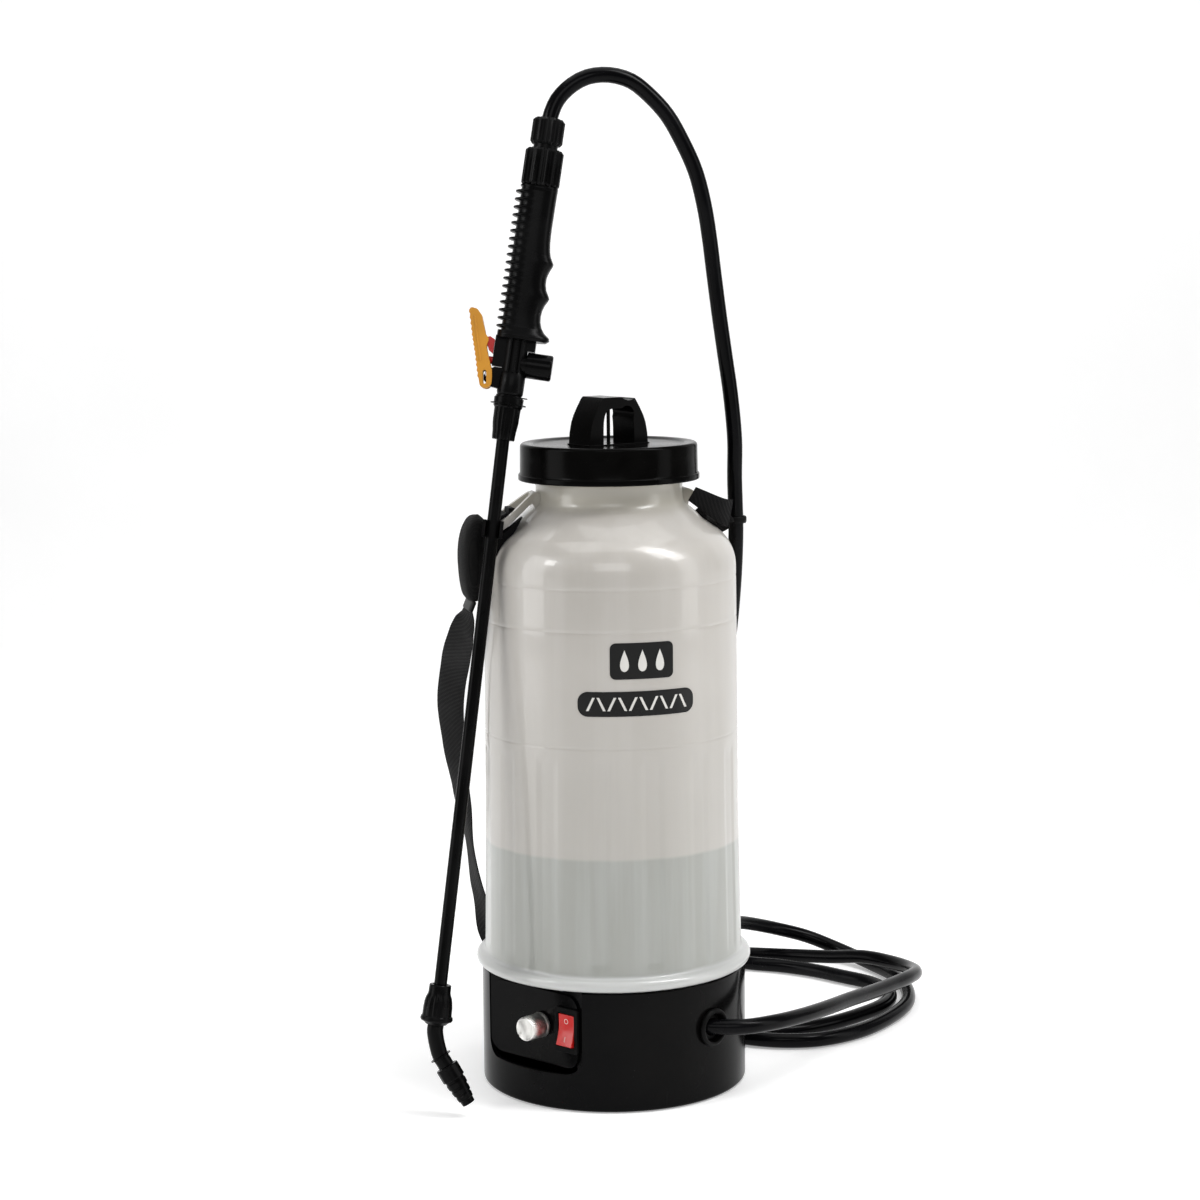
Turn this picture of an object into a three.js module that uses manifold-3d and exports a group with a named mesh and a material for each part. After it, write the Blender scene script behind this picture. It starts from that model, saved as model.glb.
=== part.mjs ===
// Cordless bottle sprayer: a translucent tank on a round battery-and-pump base,
// with a screw cap, a shoulder strap, a hose, and a trigger lance clipped beside the tank.
// Millimetres, +Z up, -Y towards the control side. The origin is the centre of the base's underside.
import * as THREE from "three";
import { mergeVertices } from "three/addons/utils/BufferGeometryUtils.js";
import Module from "manifold-3d";

const wasm = await Module();
wasm.setup();

// ---------------------------------------------------------------- driving dimensions
const GAP = 0.3;               // clearance kept between touching pieces
const BASE_R = 95;             // base housing radius
const BASE_TOP = 85.5;         // base housing height
const WALL = 2.6;              // moulded wall of the base
const TANK_BOTTOM = 86.2;      // underside of the bottle
const TANK_WALL = 2.5;
const NECK_R = 52;             // plain neck under the cap
const RIM_TOP = 453;           // mouth of the bottle
const CAP_TOP = 458.4;
const THREAD_PITCH = 6;
const PANEL_TURN = -41.5;      // control panel's heading, degrees from straight ahead
const PANEL_DEPTH = 83.5;      // panel flat's distance from the axis
const CONTROL_Z = 57.5;        // height of the knob and the switch
const SWITCH_S = 32;           // switch's place along the panel
const KNOB_S = 8;              // knob's place along the panel
const HOSE_R = 5.5;
const OUTLET = [68.3, -66, 53];      // middle of the hose grommet, on the base wall
const OUTLET_TURN = 46;              // its heading, degrees from straight ahead
const LUG_TURNS = [-77, 103];        // headings of the two strap lugs
const LANCE_FOOT = [-73, -39.3, 464.8];    // bottom of the handle's lower nut
const LANCE_HEAD = [-39.6, -13, 676.5];    // a point further up the handle's axis
const TUBE_FOOT = [-120.3, -88, 92];       // lower end of the lance tube
const TUBE_R = 4.5;
const NOZZLE_WAY = [0.505, -0.1, -0.857];  // the way the nozzle points
const VALVE_S = 53.3;          // valve axis, along the handle from its foot
const LEVER_PIVOT = [-17, 43]; // trigger pin: across and along the handle

// ---------------------------------------------------------------- shape helpers
// One closed shell: shared vertices merged, slivers dropped, faces pointing out.
function closed(source) {
  const plain = source.clone();
  plain.deleteAttribute("normal");
  plain.deleteAttribute("uv");
  const merged = mergeVertices(plain, 1e-4);
  const index = merged.index.array;
  const corner = [new THREE.Vector3(), new THREE.Vector3(), new THREE.Vector3()];
  const kept = [];
  let volume = 0;
  for (let i = 0; i < index.length; i += 3) {
    const [a, b, c] = [index[i], index[i + 1], index[i + 2]];
    if (a === b || b === c || c === a) continue;
    [a, b, c].forEach((v, k) => corner[k].fromBufferAttribute(merged.attributes.position, v));
    volume += corner[0].dot(corner[1].cross(corner[2]));
    kept.push(a, b, c);
  }
  if (volume < 0) {
    for (let i = 0; i < kept.length; i += 3) {
      [kept[i], kept[i + 1]] = [kept[i + 1], kept[i]];
    }
  }
  merged.setIndex(kept);
  return merged;
}

function toSolid(geometry) {
  const tidy = closed(geometry);
  return new wasm.Manifold(new wasm.Mesh({
    numProp: 3,
    vertProperties: new Float32Array(tidy.attributes.position.array),
    triVerts: new Uint32Array(tidy.index.array),
  }));
}

function fromSolid(manifold) {
  const mesh = manifold.getMesh();
  const geometry = new THREE.BufferGeometry();
  geometry.setAttribute("position", new THREE.BufferAttribute(mesh.vertProperties, 3));
  geometry.setIndex(new THREE.BufferAttribute(mesh.triVerts, 1));
  return geometry;
}

function cut(base, ...tools) {
  return fromSolid(tools.reduce((left, tool) => left.subtract(toSolid(tool)), toSolid(base)));
}

function join(base, ...others) {
  return fromSolid(others.reduce((sum, other) => sum.add(toSolid(other)), toSolid(base)));
}

function common(a, b) {
  return fromSolid(toSolid(a).intersect(toSolid(b)));
}

// A [radius, height] profile turned about +Z.
function turned(profile, sides = 32) {
  const points = profile.map(([r, z]) => new THREE.Vector2(r, z));
  return new THREE.LatheGeometry(points, sides).rotateX(Math.PI / 2);
}

// A ring with a bore: inner and outer radius, bottom and top.
function ring(inner, outer, low, high, sides = 24) {
  return turned([[inner, low], [outer, low], [outer, high], [inner, high], [inner, low]], sides);
}

function rod(radius, low, high, sides = 16) {
  return turned([[0, low], [radius, low], [radius, high], [0, high]], sides);
}

function block(x0, x1, y0, y1, z0, z1) {
  const box = new THREE.BoxGeometry(x1 - x0, y1 - y0, z1 - z0);
  return box.translate((x0 + x1) / 2, (y0 + y1) / 2, (z0 + z1) / 2);
}

// A shape that runs anticlockwise, as an outline with holes has to.
function outline(points) {
  const corners = points.map(([x, y]) => new THREE.Vector2(x, y));
  return new THREE.Shape(THREE.ShapeUtils.isClockWise(corners) ? corners.reverse() : corners);
}

// An outline in X and Y, raised from z0 to z1.
function plate(points, z0, z1, holes = []) {
  const shape = outline(points);
  holes.forEach((hole) => shape.holes.push(outline(hole)));
  return new THREE.ExtrudeGeometry(shape, { depth: z1 - z0, bevelEnabled: false }).translate(0, 0, z0);
}

// A rectangle with round corners, as a list of points.
function roundRect(x0, x1, y0, y1, r, steps = 4) {
  const points = [];
  const corners = [[x1 - r, y0 + r, -90], [x1 - r, y1 - r, 0], [x0 + r, y1 - r, 90], [x0 + r, y0 + r, 180]];
  for (const [cx, cy, start] of corners) {
    for (let i = 0; i <= steps; i += 1) {
      const a = THREE.MathUtils.degToRad(start + (90 * i) / steps);
      points.push([cx + r * Math.cos(a), cy + r * Math.sin(a)]);
    }
  }
  return points;
}

function circle(radius, sides, cx = 0, cy = 0) {
  return Array.from({ length: sides }, (_, i) => {
    const a = (2 * Math.PI * i) / sides;
    return [cx + radius * Math.cos(a), cy + radius * Math.sin(a)];
  });
}

// A round tube along a smooth curve through the points; a bore makes it hollow.
function tube(points, radius, sides, steps, bore = 0) {
  const path = new THREE.CatmullRomCurve3(points.map((p) => new THREE.Vector3(...p)));
  const shape = outline(circle(radius, sides));
  if (bore > 0) shape.holes.push(outline(circle(bore, sides)));
  return new THREE.ExtrudeGeometry(shape, { steps, extrudePath: path, bevelEnabled: false });
}

// A flat band through stations of [middle, direction across], for webbing.
function band(stations, width, thickness, steps) {
  const middle = new THREE.CatmullRomCurve3(stations.map(([at]) => new THREE.Vector3(...at)));
  const across = new THREE.CatmullRomCurve3(stations.map(([, side]) => new THREE.Vector3(...side)));
  const geometry = new THREE.BoxGeometry(width, thickness, 1, 1, 1, steps);
  const position = geometry.attributes.position;
  for (let i = 0; i < position.count; i += 1) {
    const t = position.getZ(i) + 0.5;
    const tangent = middle.getTangent(t);
    const side = across.getPoint(t);
    side.addScaledVector(tangent, -side.dot(tangent)).normalize();
    const normal = new THREE.Vector3().crossVectors(tangent, side);
    const point = middle.getPoint(t);
    point.addScaledVector(side, position.getX(i)).addScaledVector(normal, position.getY(i));
    position.setXYZ(i, point.x, point.y, point.z);
  }
  return geometry;
}

// A frame whose local Z runs along a direction, and whose local X stays nearest to a given one.
function frameAlong(origin, way, nearX) {
  const z = new THREE.Vector3(...way).normalize();
  const x = new THREE.Vector3(...nearX);
  x.addScaledVector(z, -x.dot(z)).normalize();
  const y = new THREE.Vector3().crossVectors(z, x);
  return new THREE.Matrix4().makeBasis(x, y, z).setPosition(...origin);
}

function placed(geometry, matrix) {
  return geometry.clone().applyMatrix4(matrix);
}

// ---------------------------------------------------------------- materials
function material(color, roughness, metalness = 0) {
  return new THREE.MeshStandardMaterial({ color, roughness, metalness });
}

const gloss = material(0x0c0c0d, 0.2);
const satin = material(0x141414, 0.5);
const rubber = material(0x0e0e0e, 0.75);
const milky = material(0xe6e4df, 0.35);
const steel = material(0xb8babd, 0.35, 1);
const aluminium = material(0xc9cacc, 0.25, 1);
const yellow = material(0xf0a818, 0.45);
const red = material(0xc8140f, 0.3);
const webbing = material(0x101011, 0.9);
const brass = material(0xb8964a, 0.35, 1);
const green = material(0x1d5a34, 0.5);
const grey = material(0x77797c, 0.5);

// ---------------------------------------------------------------- the scene graph
const sprayer = new THREE.Group();

function groupAt(matrix) {
  const group = new THREE.Group();
  matrix.decompose(group.position, group.quaternion, group.scale);
  sprayer.add(group);
  return group;
}

function part(name, geometry, look, parent = sprayer) {
  const mesh = new THREE.Mesh(closed(geometry), look);
  mesh.name = name;
  parent.add(mesh);
  return mesh;
}

function heading(degrees) {
  const a = THREE.MathUtils.degToRad(degrees);
  return [Math.sin(a), -Math.cos(a), 0];
}

// Panel frame: X along the panel, Y up, Z straight out of it; its origin is on the tank's axis.
const panelWay = heading(PANEL_TURN);
const panelSide = heading(PANEL_TURN + 90);
const panelFrame = frameAlong([0, 0, 0], panelWay, panelSide);
const outletWay = heading(OUTLET_TURN);
const outletFrame = frameAlong(OUTLET, outletWay, heading(OUTLET_TURN + 90));

// ---------------------------------------------------------------- base
const BOSS_R = 84;                       // screw bosses' distance from the axis
const BOSS_TURNS = [20, 112, 200, 292];  // their headings
const STEM_R = 8.6;                      // tank outlet's stem, through bottle and base

function bossPlaces() {
  return BOSS_TURNS.map((turn) => heading(turn).map((c) => c * BOSS_R));
}

function baseHousing() {
  const skin = turned([
    [0, 0.6], [92.2, 0.6], [94, 1.5], [BASE_R, 3.6], [BASE_R, 84.9], [94.4, BASE_TOP], [0, BASE_TOP],
  ], 48);
  const facet = placed(plate(roundRect(-44, 44, 26.5, 120, 12), PANEL_DEPTH, 110), panelFrame);
  const room = turned([[0, -1], [92.2, -1], [92.2, BASE_TOP - WALL], [0, BASE_TOP - WALL]], 48);
  const pocket = placed(plate(roundRect(-48, 48, 23, 130, 12), PANEL_DEPTH - WALL, 120), panelFrame);
  const cavity = cut(room, pocket);
  const bosses = bossPlaces().map(([x, y]) => rod(5, 4.6, BASE_TOP - 1, 12).translate(x, y, 0));
  const holes = bossPlaces().map(([x, y]) => rod(1.8, 0, 20, 8).translate(x, y, 0));
  const posts = [[-56, 8], [-20, -30]].map(([x, y]) => rod(3, 72, BASE_TOP - 1, 10).translate(x, y, 0));
  const windows = [
    placed(block(SWITCH_S - 9, SWITCH_S + 9, CONTROL_Z - 14, CONTROL_Z + 14, 70, 100), panelFrame),
    placed(rod(4, 70, 100).translate(KNOB_S, CONTROL_Z, 0), panelFrame),
    placed(rod(11, -12, 12, 24), outletFrame),
    rod(STEM_R + 0.5, 70, 100, 24),
    rod(6.4, 0, 20, 16).rotateX(-Math.PI / 2).translate(0, 80, 30),
  ];
  return cut(join(cut(skin, facet, cavity), ...bosses, ...posts), ...windows, ...holes);
}

function basePlate() {
  const disc = turned([[0, 0], [91, 0], [91.7, 0.7], [91.7, 4], [0, 4]], 48);
  const tray = cut(block(-53, 53, 15, 71, 3, 12), block(-50.6, 50.6, 17.4, 68.6, 3.5, 20));
  const saddles = [-48, -14].map((x) => cut(
    block(x, x + 6, -30, 6, 3, 16), rod(17.6, -10, 20, 24).rotateY(Math.PI / 2).translate(x, -12, 24)));
  const holes = bossPlaces().flatMap(([x, y]) => [
    rod(2.2, -1, 6, 10).translate(x, y, 0), rod(4.4, -1, 2.6, 14).translate(x, y, 0),
  ]);
  return cut(join(disc, tray, ...saddles), ...holes);
}

part("base_housing", baseHousing(), gloss);
part("base_plate", basePlate(), satin);
bossPlaces().forEach(([x, y], i) => {
  const screw = turned([[0, 0.5], [3.9, 0.5], [3.9, 2.3], [1.5, 2.3], [1.5, 15], [0, 16]], 10);
  part(`base_screw_${i + 1}`, screw.translate(x, y, 0), steel);
});

// ---------------------------------------------------------------- control panel, in the panel frame
const panel = groupAt(panelFrame);
const PLATE_FRONT = PANEL_DEPTH + GAP + 1.5;
const ROCKER_PIVOT = PLATE_FRONT + 1;
const ROCKER_TIP = -8;               // tilt from level when off, degrees

function controlPlate() {
  const openings = [
    block(SWITCH_S - 9, SWITCH_S + 9, CONTROL_Z - 14, CONTROL_Z + 14, 70, 100),
    rod(4, 70, 100).translate(KNOB_S, CONTROL_Z, 0),
  ];
  return cut(plate(roundRect(-41, 41, 30, 82, 10), PANEL_DEPTH + GAP, PLATE_FRONT), ...openings);
}

function switchHousing() {
  const bezel = plate(roundRect(-10.2, 10.2, -15.8, 15.8, 1.5, 2), PLATE_FRONT + GAP, PLATE_FRONT + 2.2);
  const body = block(-8.6, 8.6, -13.6, 13.6, 62, PLATE_FRONT + 1);
  const pocket = block(-7.5, 7.5, -12, 12, 72, 100);
  return cut(join(bezel, body), pocket).translate(SWITCH_S, CONTROL_Z, 0);
}

// The rocker's side view, as [height, depth]: a shallow V outside and a keel inside. It is made
// level, stood up in the panel frame, and tipped to "off", its lower end out.
function rocker() {
  const side = [[11, 2.6], [0, 1], [-11, 2.6], [-11.2, -1.5], [-3, -7], [3, -7], [11.2, -1.5]];
  const standing = new THREE.Matrix4().makeBasis(
    new THREE.Vector3(0, 1, 0), new THREE.Vector3(0, 0, 1), new THREE.Vector3(1, 0, 0));
  const key = plate(side, -7.1, 7.1).applyMatrix4(standing);
  return key.rotateX(THREE.MathUtils.degToRad(ROCKER_TIP)).translate(SWITCH_S, CONTROL_Z, ROCKER_PIVOT);
}

function speedKnob() {
  const body = turned([
    [0, 103.2], [7.2, 103.2], [8.4, 102], [8.5, 89.5], [8.9, 88.6], [8.9, 87], [3.3, 87], [3.3, 98], [0, 98],
  ], 24);
  const pointer = block(-0.6, 0.6, 1.5, 9, 102.4, 104);
  const start = THREE.MathUtils.degToRad(130);
  return cut(body, pointer.rotateZ(start)).translate(KNOB_S, CONTROL_Z, 0);
}

part("control_panel", controlPlate(), gloss, panel);
part("switch_housing", switchHousing(), satin, panel);
part("switch_rocker", rocker(), red, panel);
part("speed_knob", speedKnob(), aluminium, panel);
part("knob_shaft", rod(2.9, 74, 97.6, 12).translate(KNOB_S, CONTROL_Z, 0), steel, panel);
part("potentiometer", turned([
  [3.3, 71], [8, 71], [8, 80.4], [3.7, 80.4], [3.7, 85.6], [3.3, 85.6], [3.3, 71],
], 20).translate(KNOB_S, CONTROL_Z, 0), grey, panel);

// ---------------------------------------------------------------- inside the base
const PORT = 3.2;                   // hose barbs inside the base
const COUPLING_END = [45.7, -60.9, 53];

function pumpHead() {
  const body = plate(roundRect(6, 44, -33, 9, 5, 2), 4.6, 44);
  const inlet = rod(PORT, 40, 52, 12).translate(18, -8, 0);
  const outlet = rod(PORT, 0, 12, 12).rotateX(Math.PI / 2).translate(18, -31, 30);
  return join(body, inlet, outlet);
}

function controlBoard() {
  const board = block(-62, -14, -36, 12, 69, 70.6);
  const sink = block(-44, -30, -26, 0, 56, 69.5);
  const cell = rod(5, 58, 69.5, 12).translate(-22, -10, 0);
  return join(board, sink, cell);
}

part("battery", plate(roundRect(-50, 50, 18, 68, 3, 2), 4.6, 66), grey);
part("pump_motor", turned([
  [0, 0], [4, 0], [4, 2], [16, 2], [17, 3], [17, 52], [16, 53], [0, 53],
], 24).rotateY(Math.PI / 2).translate(-48, -12, 24), steel);
part("pump_head", pumpHead(), satin);
part("control_board", controlBoard(), green);
part("tank_outlet", turned([
  [5, 66], [STEM_R - 2, 66], [STEM_R - 2, 72], [STEM_R, 73], [STEM_R, 89.7], [16, 89.7], [16, 92.4],
  [5, 92.4], [5, 66],
], 24), satin);
part("outlet_nut", plate(circle(15, 6), 78.4, BASE_TOP - WALL - GAP, [circle(STEM_R + GAP, 24)]), satin);
part("tank_strainer", turned([
  [6, 92.7], [15, 92.7], [13, 112], [0, 113], [0, 111.4], [11.6, 110.6], [13.2, 94.3], [6, 94.3], [6, 92.7],
], 20), grey);
part("suction_hose", tube([
  [0, 0, 65.6], [0, 0, 62], [6, -2.5, 57.5], [14, -6.5, 59], [18, -8, 54], [18, -8, 50],
  [18, -8, 45],
], 5.6, 8, 12, PORT + 0.9), rubber);
const couplingFrame = frameAlong(COUPLING_END, [0.973, -0.23, 0], [0, 0, 1]);
part("outlet_coupling", placed(join(rod(7, -12, 0), rod(PORT, -19, -11, 12)), couplingFrame), satin);
part("pressure_hose", tube([
  [33.4, -57.9, 53], [27, -56.4, 53], [18, -54.5, 51], [12, -53, 43], [13, -50, 34], [18, -44, 30.2],
  [18, -40, 30], [18, -33.6, 30],
], 5.6, 8, 13, PORT + 0.9), rubber);
part("hose_grommet", placed(turned([
  [10, -5.8], [12.8, -5.8], [12.8, -4.2], [10.6, -4], [10.6, 0.6], [13.2, 0.9], [13, 2.6], [11.8, 3.8],
  [10.3, 3.4], [9.8, 1.6], [9.8, -3], [10, -5.8],
], 18), outletFrame), rubber);
part("charge_socket", turned([
  [0, 78], [5.8, 78], [5.8, 95.4], [8, 95.4], [8, 97], [3.4, 97], [3.4, 82], [1, 82], [1, 94], [0, 94],
], 16).rotateX(-Math.PI / 2).translate(0, 0, 30), satin);

// ---------------------------------------------------------------- tank
const SHOULDER_Z = 372;          // where the wall starts to turn in
const SHOULDER_R = 32;           // the shoulder's rounding
const BODY_R = 89.5;

// Points of an arc in a [radius, height] profile, from one angle to another.
function arc(cr, cz, radius, from, to, steps) {
  return Array.from({ length: steps + 1 }, (_, i) => {
    const a = THREE.MathUtils.degToRad(from + ((to - from) * i) / steps);
    return [cr + radius * Math.cos(a), cz + radius * Math.sin(a)];
  });
}

function bottleShell() {
  const centre = BODY_R - SHOULDER_R;
  const outside = [
    [9.1, TANK_BOTTOM], [95, TANK_BOTTOM], [98, 87.4], [98.4, 91], [97, 94.8], [93.4, 96.2], [92.2, 104],
    [90.6, 202], ...arc(centre, SHOULDER_Z, SHOULDER_R, 0, 54, 4), [56, 414.5], [NECK_R, 419],
    [NECK_R, 431], [55.3, 433.4], [55.3, RIM_TOP],
  ];
  const inside = [
    [50.3, RIM_TOP], [50.3, 433], [NECK_R - TANK_WALL, 430], [NECK_R - TANK_WALL, 417.5], [54.5, 412.6],
    ...arc(centre, SHOULDER_Z, SHOULDER_R - TANK_WALL, 54, 0, 3), [88, 202], [89.6, 104],
    [85, 89.4], [9.1, 89.4], [9.1, TANK_BOTTOM],
  ];
  return turned([...outside, ...inside], 36);
}

function neckThread() {
  const turns = 1.5;
  const points = Array.from({ length: 25 }, (_, i) => {
    const a = (2 * Math.PI * turns * i) / 24;
    return [55.4 * Math.cos(a), 55.4 * Math.sin(a), 438 + (THREAD_PITCH * turns * i) / 24];
  });
  return tube(points, 1.5, 4, 24);
}

// A strap lug: two arms sloping out from the neck and a bar across their ends, as [out, up].
const LUG_SIDE = [
  [51, 418], [51, 425.5], [57, 425.5], [80.5, 407.2], [82.4, 405], [82.2, 402.6], [80, 401.6],
  [77.4, 403.2], [57.5, 418.6], [56, 413],
];
const LUG_HALF = 17;             // half its width across the bar

// Seen from above, the arms spread out from the neck and then run parallel to the bar.
function strapLug(turn) {
  const whole = plate(LUG_SIDE, -LUG_HALF, LUG_HALF).rotateX(Math.PI / 2);
  const gap = plate([[57.4, -5], [73.5, -13], [77.4, -13], [77.4, 13], [73.5, 13], [57.4, 5]], 380, 440);
  const beside = [-1, 1].map((side) => plate([
    [40, side * 9], [57.4, side * 9], [73.5, side * 18], [73.5, side * 24], [40, side * 24],
  ], 380, 440));
  return cut(whole, gap, ...beside).rotateZ(THREE.MathUtils.degToRad(turn - 90));
}

part("bottle", join(bottleShell(), neckThread(), ...LUG_TURNS.map(strapLug)), milky);

// ---------------------------------------------------------------- cap
const HANDLE_TURN = 35;          // the arch's heading, degrees from the X axis
const ARCH_HALF = 25;            // half the arch's span
const ARCH_DEEP = 26;            // its depth
const ARCH_RISE = 33.5;
const ARCH_GAP = 13.3;           // half the space between its legs
const TROUGH_R = 10.2;           // the shallow trough across its top

function capHandle() {
  const right = [[24.3, 8], [22.8, 15], [21, 20], [17.8, 26], [14.8, 31], [12.8, ARCH_RISE]];
  const outer = [...right, ...right.map(([x, z]) => [-x, z]).reverse()].map(([x, z]) => [x, CAP_TOP + z]);
  const inner = arc(0, 0, 1, 0, 180, 10).map(([x, y]) => [
    ARCH_GAP * Math.sign(x) * Math.abs(x) ** 0.5, CAP_TOP + 3 + 22.5 * y ** 0.6,
  ]);
  const legs = [[ARCH_HALF, CAP_TOP - 1], ...outer, [-ARCH_HALF, CAP_TOP - 1]];
  const hole = [[ARCH_GAP, CAP_TOP - 4], ...inner, [-ARCH_GAP, CAP_TOP - 4]];
  const arch = plate(legs, -ARCH_DEEP / 2, ARCH_DEEP / 2);
  const across = (radius, x, z) => rod(radius, -20, 20, 20).rotateX(Math.PI / 2).translate(x, 0, z);
  const upright = cut(arch.rotateX(Math.PI / 2), plate(hole, -20, 20).rotateX(Math.PI / 2),
    across(TROUGH_R, 9, CAP_TOP + ARCH_RISE + TROUGH_R - 2.6), across(6.2, 7, 479.3));
  const post = block(-1, 1, -1.1, 1.1, CAP_TOP - 1, CAP_TOP + ARCH_RISE - 5);
  const foot = block(-25.8, 25.8, -14, 14, CAP_TOP - 1, CAP_TOP + 0.8);
  return join(upright, post, foot).rotateZ(THREE.MathUtils.degToRad(HANDLE_TURN));
}

function capShell() {
  return turned([
    [0, CAP_TOP], [53, CAP_TOP], [54.5, 459.6], [59.5, 459.6], [61.8, 458.4], [62.7, 456], [62.9, 438.4],
    [64.1, 437.2], [64.1, 434.4], [63.2, 433.6], [59.6, 433.6], [58.2, 435], [58.2, 455.6], [0, 455.6],
  ], 40);
}

part("cap", join(capShell(), capHandle()), satin);
part("cap_seal", ring(50.6, 57.4, RIM_TOP + GAP, 455.6 - GAP, 32), rubber);

// ---------------------------------------------------------------- hose
// The route from inside the base, two and a half times round the floor behind it, up to the strap's
// tie at the tank's shoulder, and over in an arch to the lance. The hose is made as two lengths that
// meet at the top of the arch: one belongs to the tank and the other moves with the lance.
const HOSE_RUN = [
  [46, -61, 53], [68, -66, 53], [91, -66.5, 53], [113, -53, 52], [134, -28, 49], [155, 5, 45], [175, 43, 40],
  [194, 78, 35], [213, 112, 31], [230, 143, 28], [239, 172, 24], [237, 200, 20], [224, 226, 18],
  [205, 245, 17], [180, 264, 12], [150, 284, 8], [116, 298, 6], [80, 304, 6], [42, 298, 6], [6, 280, 6],
  [-26, 252, 6], [-46, 218, 6], [-50, 182, 6], [-36, 152, 6], [-6, 133, 6], [30, 119, 6], [66, 98, 6],
  [98, 79, 6], [130, 77, 6], [160, 92, 6], [190, 118, 6], [212, 146, 6], [219, 176, 6], [207, 206, 6],
  [186, 226, 6], [164, 245, 6], [140, 259, 6], [113, 269, 6], [78, 281, 9], [42, 289, 18], [10, 288, 19],
  [-26, 274, 15], [-55, 248, 8], [-73, 214, 6], [-76, 178, 6], [-62, 147, 6], [-34, 124, 6], [2, 109, 6],
  [40, 99, 6], [72, 80, 6], [98, 62, 6], [124, 53, 6], [153, 55, 6], [186, 76, 6], [213, 112, 6],
  [230, 150, 6], [234, 190, 6], [228, 229, 6], [213, 264, 6], [190, 290, 11], [163, 300, 20],
  [137, 296, 28], [114, 279, 37], [96, 254, 46], [84, 226, 60], [74, 194, 82], [66, 161, 113],
  [65, 130, 155], [70, 106, 200], [78, 84, 245], [85, 66, 290], [90, 54, 340], [92, 46, 388],
];
const HOSE_RISE = [
  [91, 42, 430], [91, 39, 457], [88, 36, 490], [84, 33, 518], [80, 30, 546], [76, 27, 577], [73, 24, 601],
  [69, 20, 625], [63, 17, 648], [54, 13, 668], [43, 9, 687], [30, 5, 701], [18, 0, 710],
];
const HOSE_FALL = [
  [-12, -7.4, 712.6], [-23, -9, 707], [-33, -10.5, 697], [-38.4, -12.1, 684], [-40.2, -13.5, 673],
];
const ARCH_TOP = [3, -4, 714];       // where the two lengths meet
const ARCH_WAY = [-0.964, -0.25, 0.09];

function nearArchTop(distance) {
  return ARCH_TOP.map((c, i) => c + ARCH_WAY[i] * distance);
}

part("hose", tube([...HOSE_RUN, ...HOSE_RISE, nearArchTop(-6), ARCH_TOP], HOSE_R, 8, 78), rubber);
part("hose_end", tube([nearArchTop(GAP), nearArchTop(6), ...HOSE_FALL], HOSE_R, 8, 7), rubber);

// ---------------------------------------------------------------- strap
const WEB_WIDE = 25;
const WEB_THICK = 2;
const UPRIGHT = [0, 0, 1];
const leftOut = heading(LUG_TURNS[0]);
const leftAcross = heading(LUG_TURNS[0] + 90);

// A place beside a lug: out from the axis, along the tangent, and up.
function besideLug(turn, out, along, z) {
  const away = heading(turn);
  const side = heading(turn + 90);
  return [away[0] * out + side[0] * along, away[1] * out + side[1] * along, z];
}

function leftPlace(out, z, along = 0) {
  return besideLug(LUG_TURNS[0], out, along, z);
}

// The loop of webbing round a lug's bar, closed on itself by stitching below it.
function strapLoop(turn) {
  const outside = [
    [74.6, 401], [74.6, 412], [76, 413.2], [82.4, 409.6], [85, 406], [88.6, 402.8], [87.8, 400.8],
    [84.6, 400.6], [80, 398.6], [76, 399.6],
  ];
  const barSpace = [[76.8, 402.4], [76.8, 410.4], [80.9, 407.9], [83, 405.2], [82.8, 402.2], [80, 400.9]];
  const loop = plate(outside, -WEB_WIDE / 2, WEB_WIDE / 2, [barSpace]).rotateX(Math.PI / 2);
  return loop.rotateZ(THREE.MathUtils.degToRad(turn - 90));
}

part("strap_loop_left", strapLoop(LUG_TURNS[0]), webbing);
part("strap_loop_right", strapLoop(LUG_TURNS[1]), webbing);
// The folded end of the webbing, in the left lug's opening.
const foldedEnd = [[65.6, 410.9], [66.6, 413.4], [69.6, 416.2], [74.2, 416.4], [74.2, 402.9], [70, 406.9]];
part("strap_flap", plate(foldedEnd, -8, 8).rotateX(Math.PI / 2)
  .rotateZ(THREE.MathUtils.degToRad(LUG_TURNS[0] - 90)), webbing);
part("strap_pad", band([
  [leftPlace(95.8, 409.5), leftAcross], [leftPlace(97.4, 402.5), leftAcross],
  [leftPlace(99.2, 394), leftAcross], [leftPlace(99.6, 382), leftAcross],
  [leftPlace(99.6, 368), leftAcross], [leftPlace(99.6, 352), leftAcross],
], 38, 16, 8), webbing);
part("strap_slider", band([
  [leftPlace(100.6, 351), leftAcross], [leftPlace(103, 344), leftAcross],
], 32, 5, 1), grey);
part("strap_web_left", band([
  [leftPlace(103.2, 343.4), leftAcross], [leftPlace(104.4, 334), leftAcross],
  [[-106, -14, 320], [0.4, -0.9, 0]], [[-112, 4, 298], [0.72, -0.7, 0]], [[-116, 20, 268], [0.75, -0.66, 0]],
  [[-114, 30, 236], [0.7, -0.72, 0]], [[-110, 38, 200], [0.5, -0.86, 0.1]],
  [[-105, 46, 160], [0.2, -0.95, 0.3]], [[-99, 56, 120], [0.3, -0.9, 0.35]],
  [[-88, 74, 82], [0.2, -0.6, 0.75]], [[-66, 97, 52], [0, -0.2, 0.97]],
  [[-38, 111, 36], UPRIGHT], [[-20, 116, 33.4], UPRIGHT], [[-7, 117, 33], UPRIGHT],
], WEB_WIDE, WEB_THICK, 30), webbing);
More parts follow.
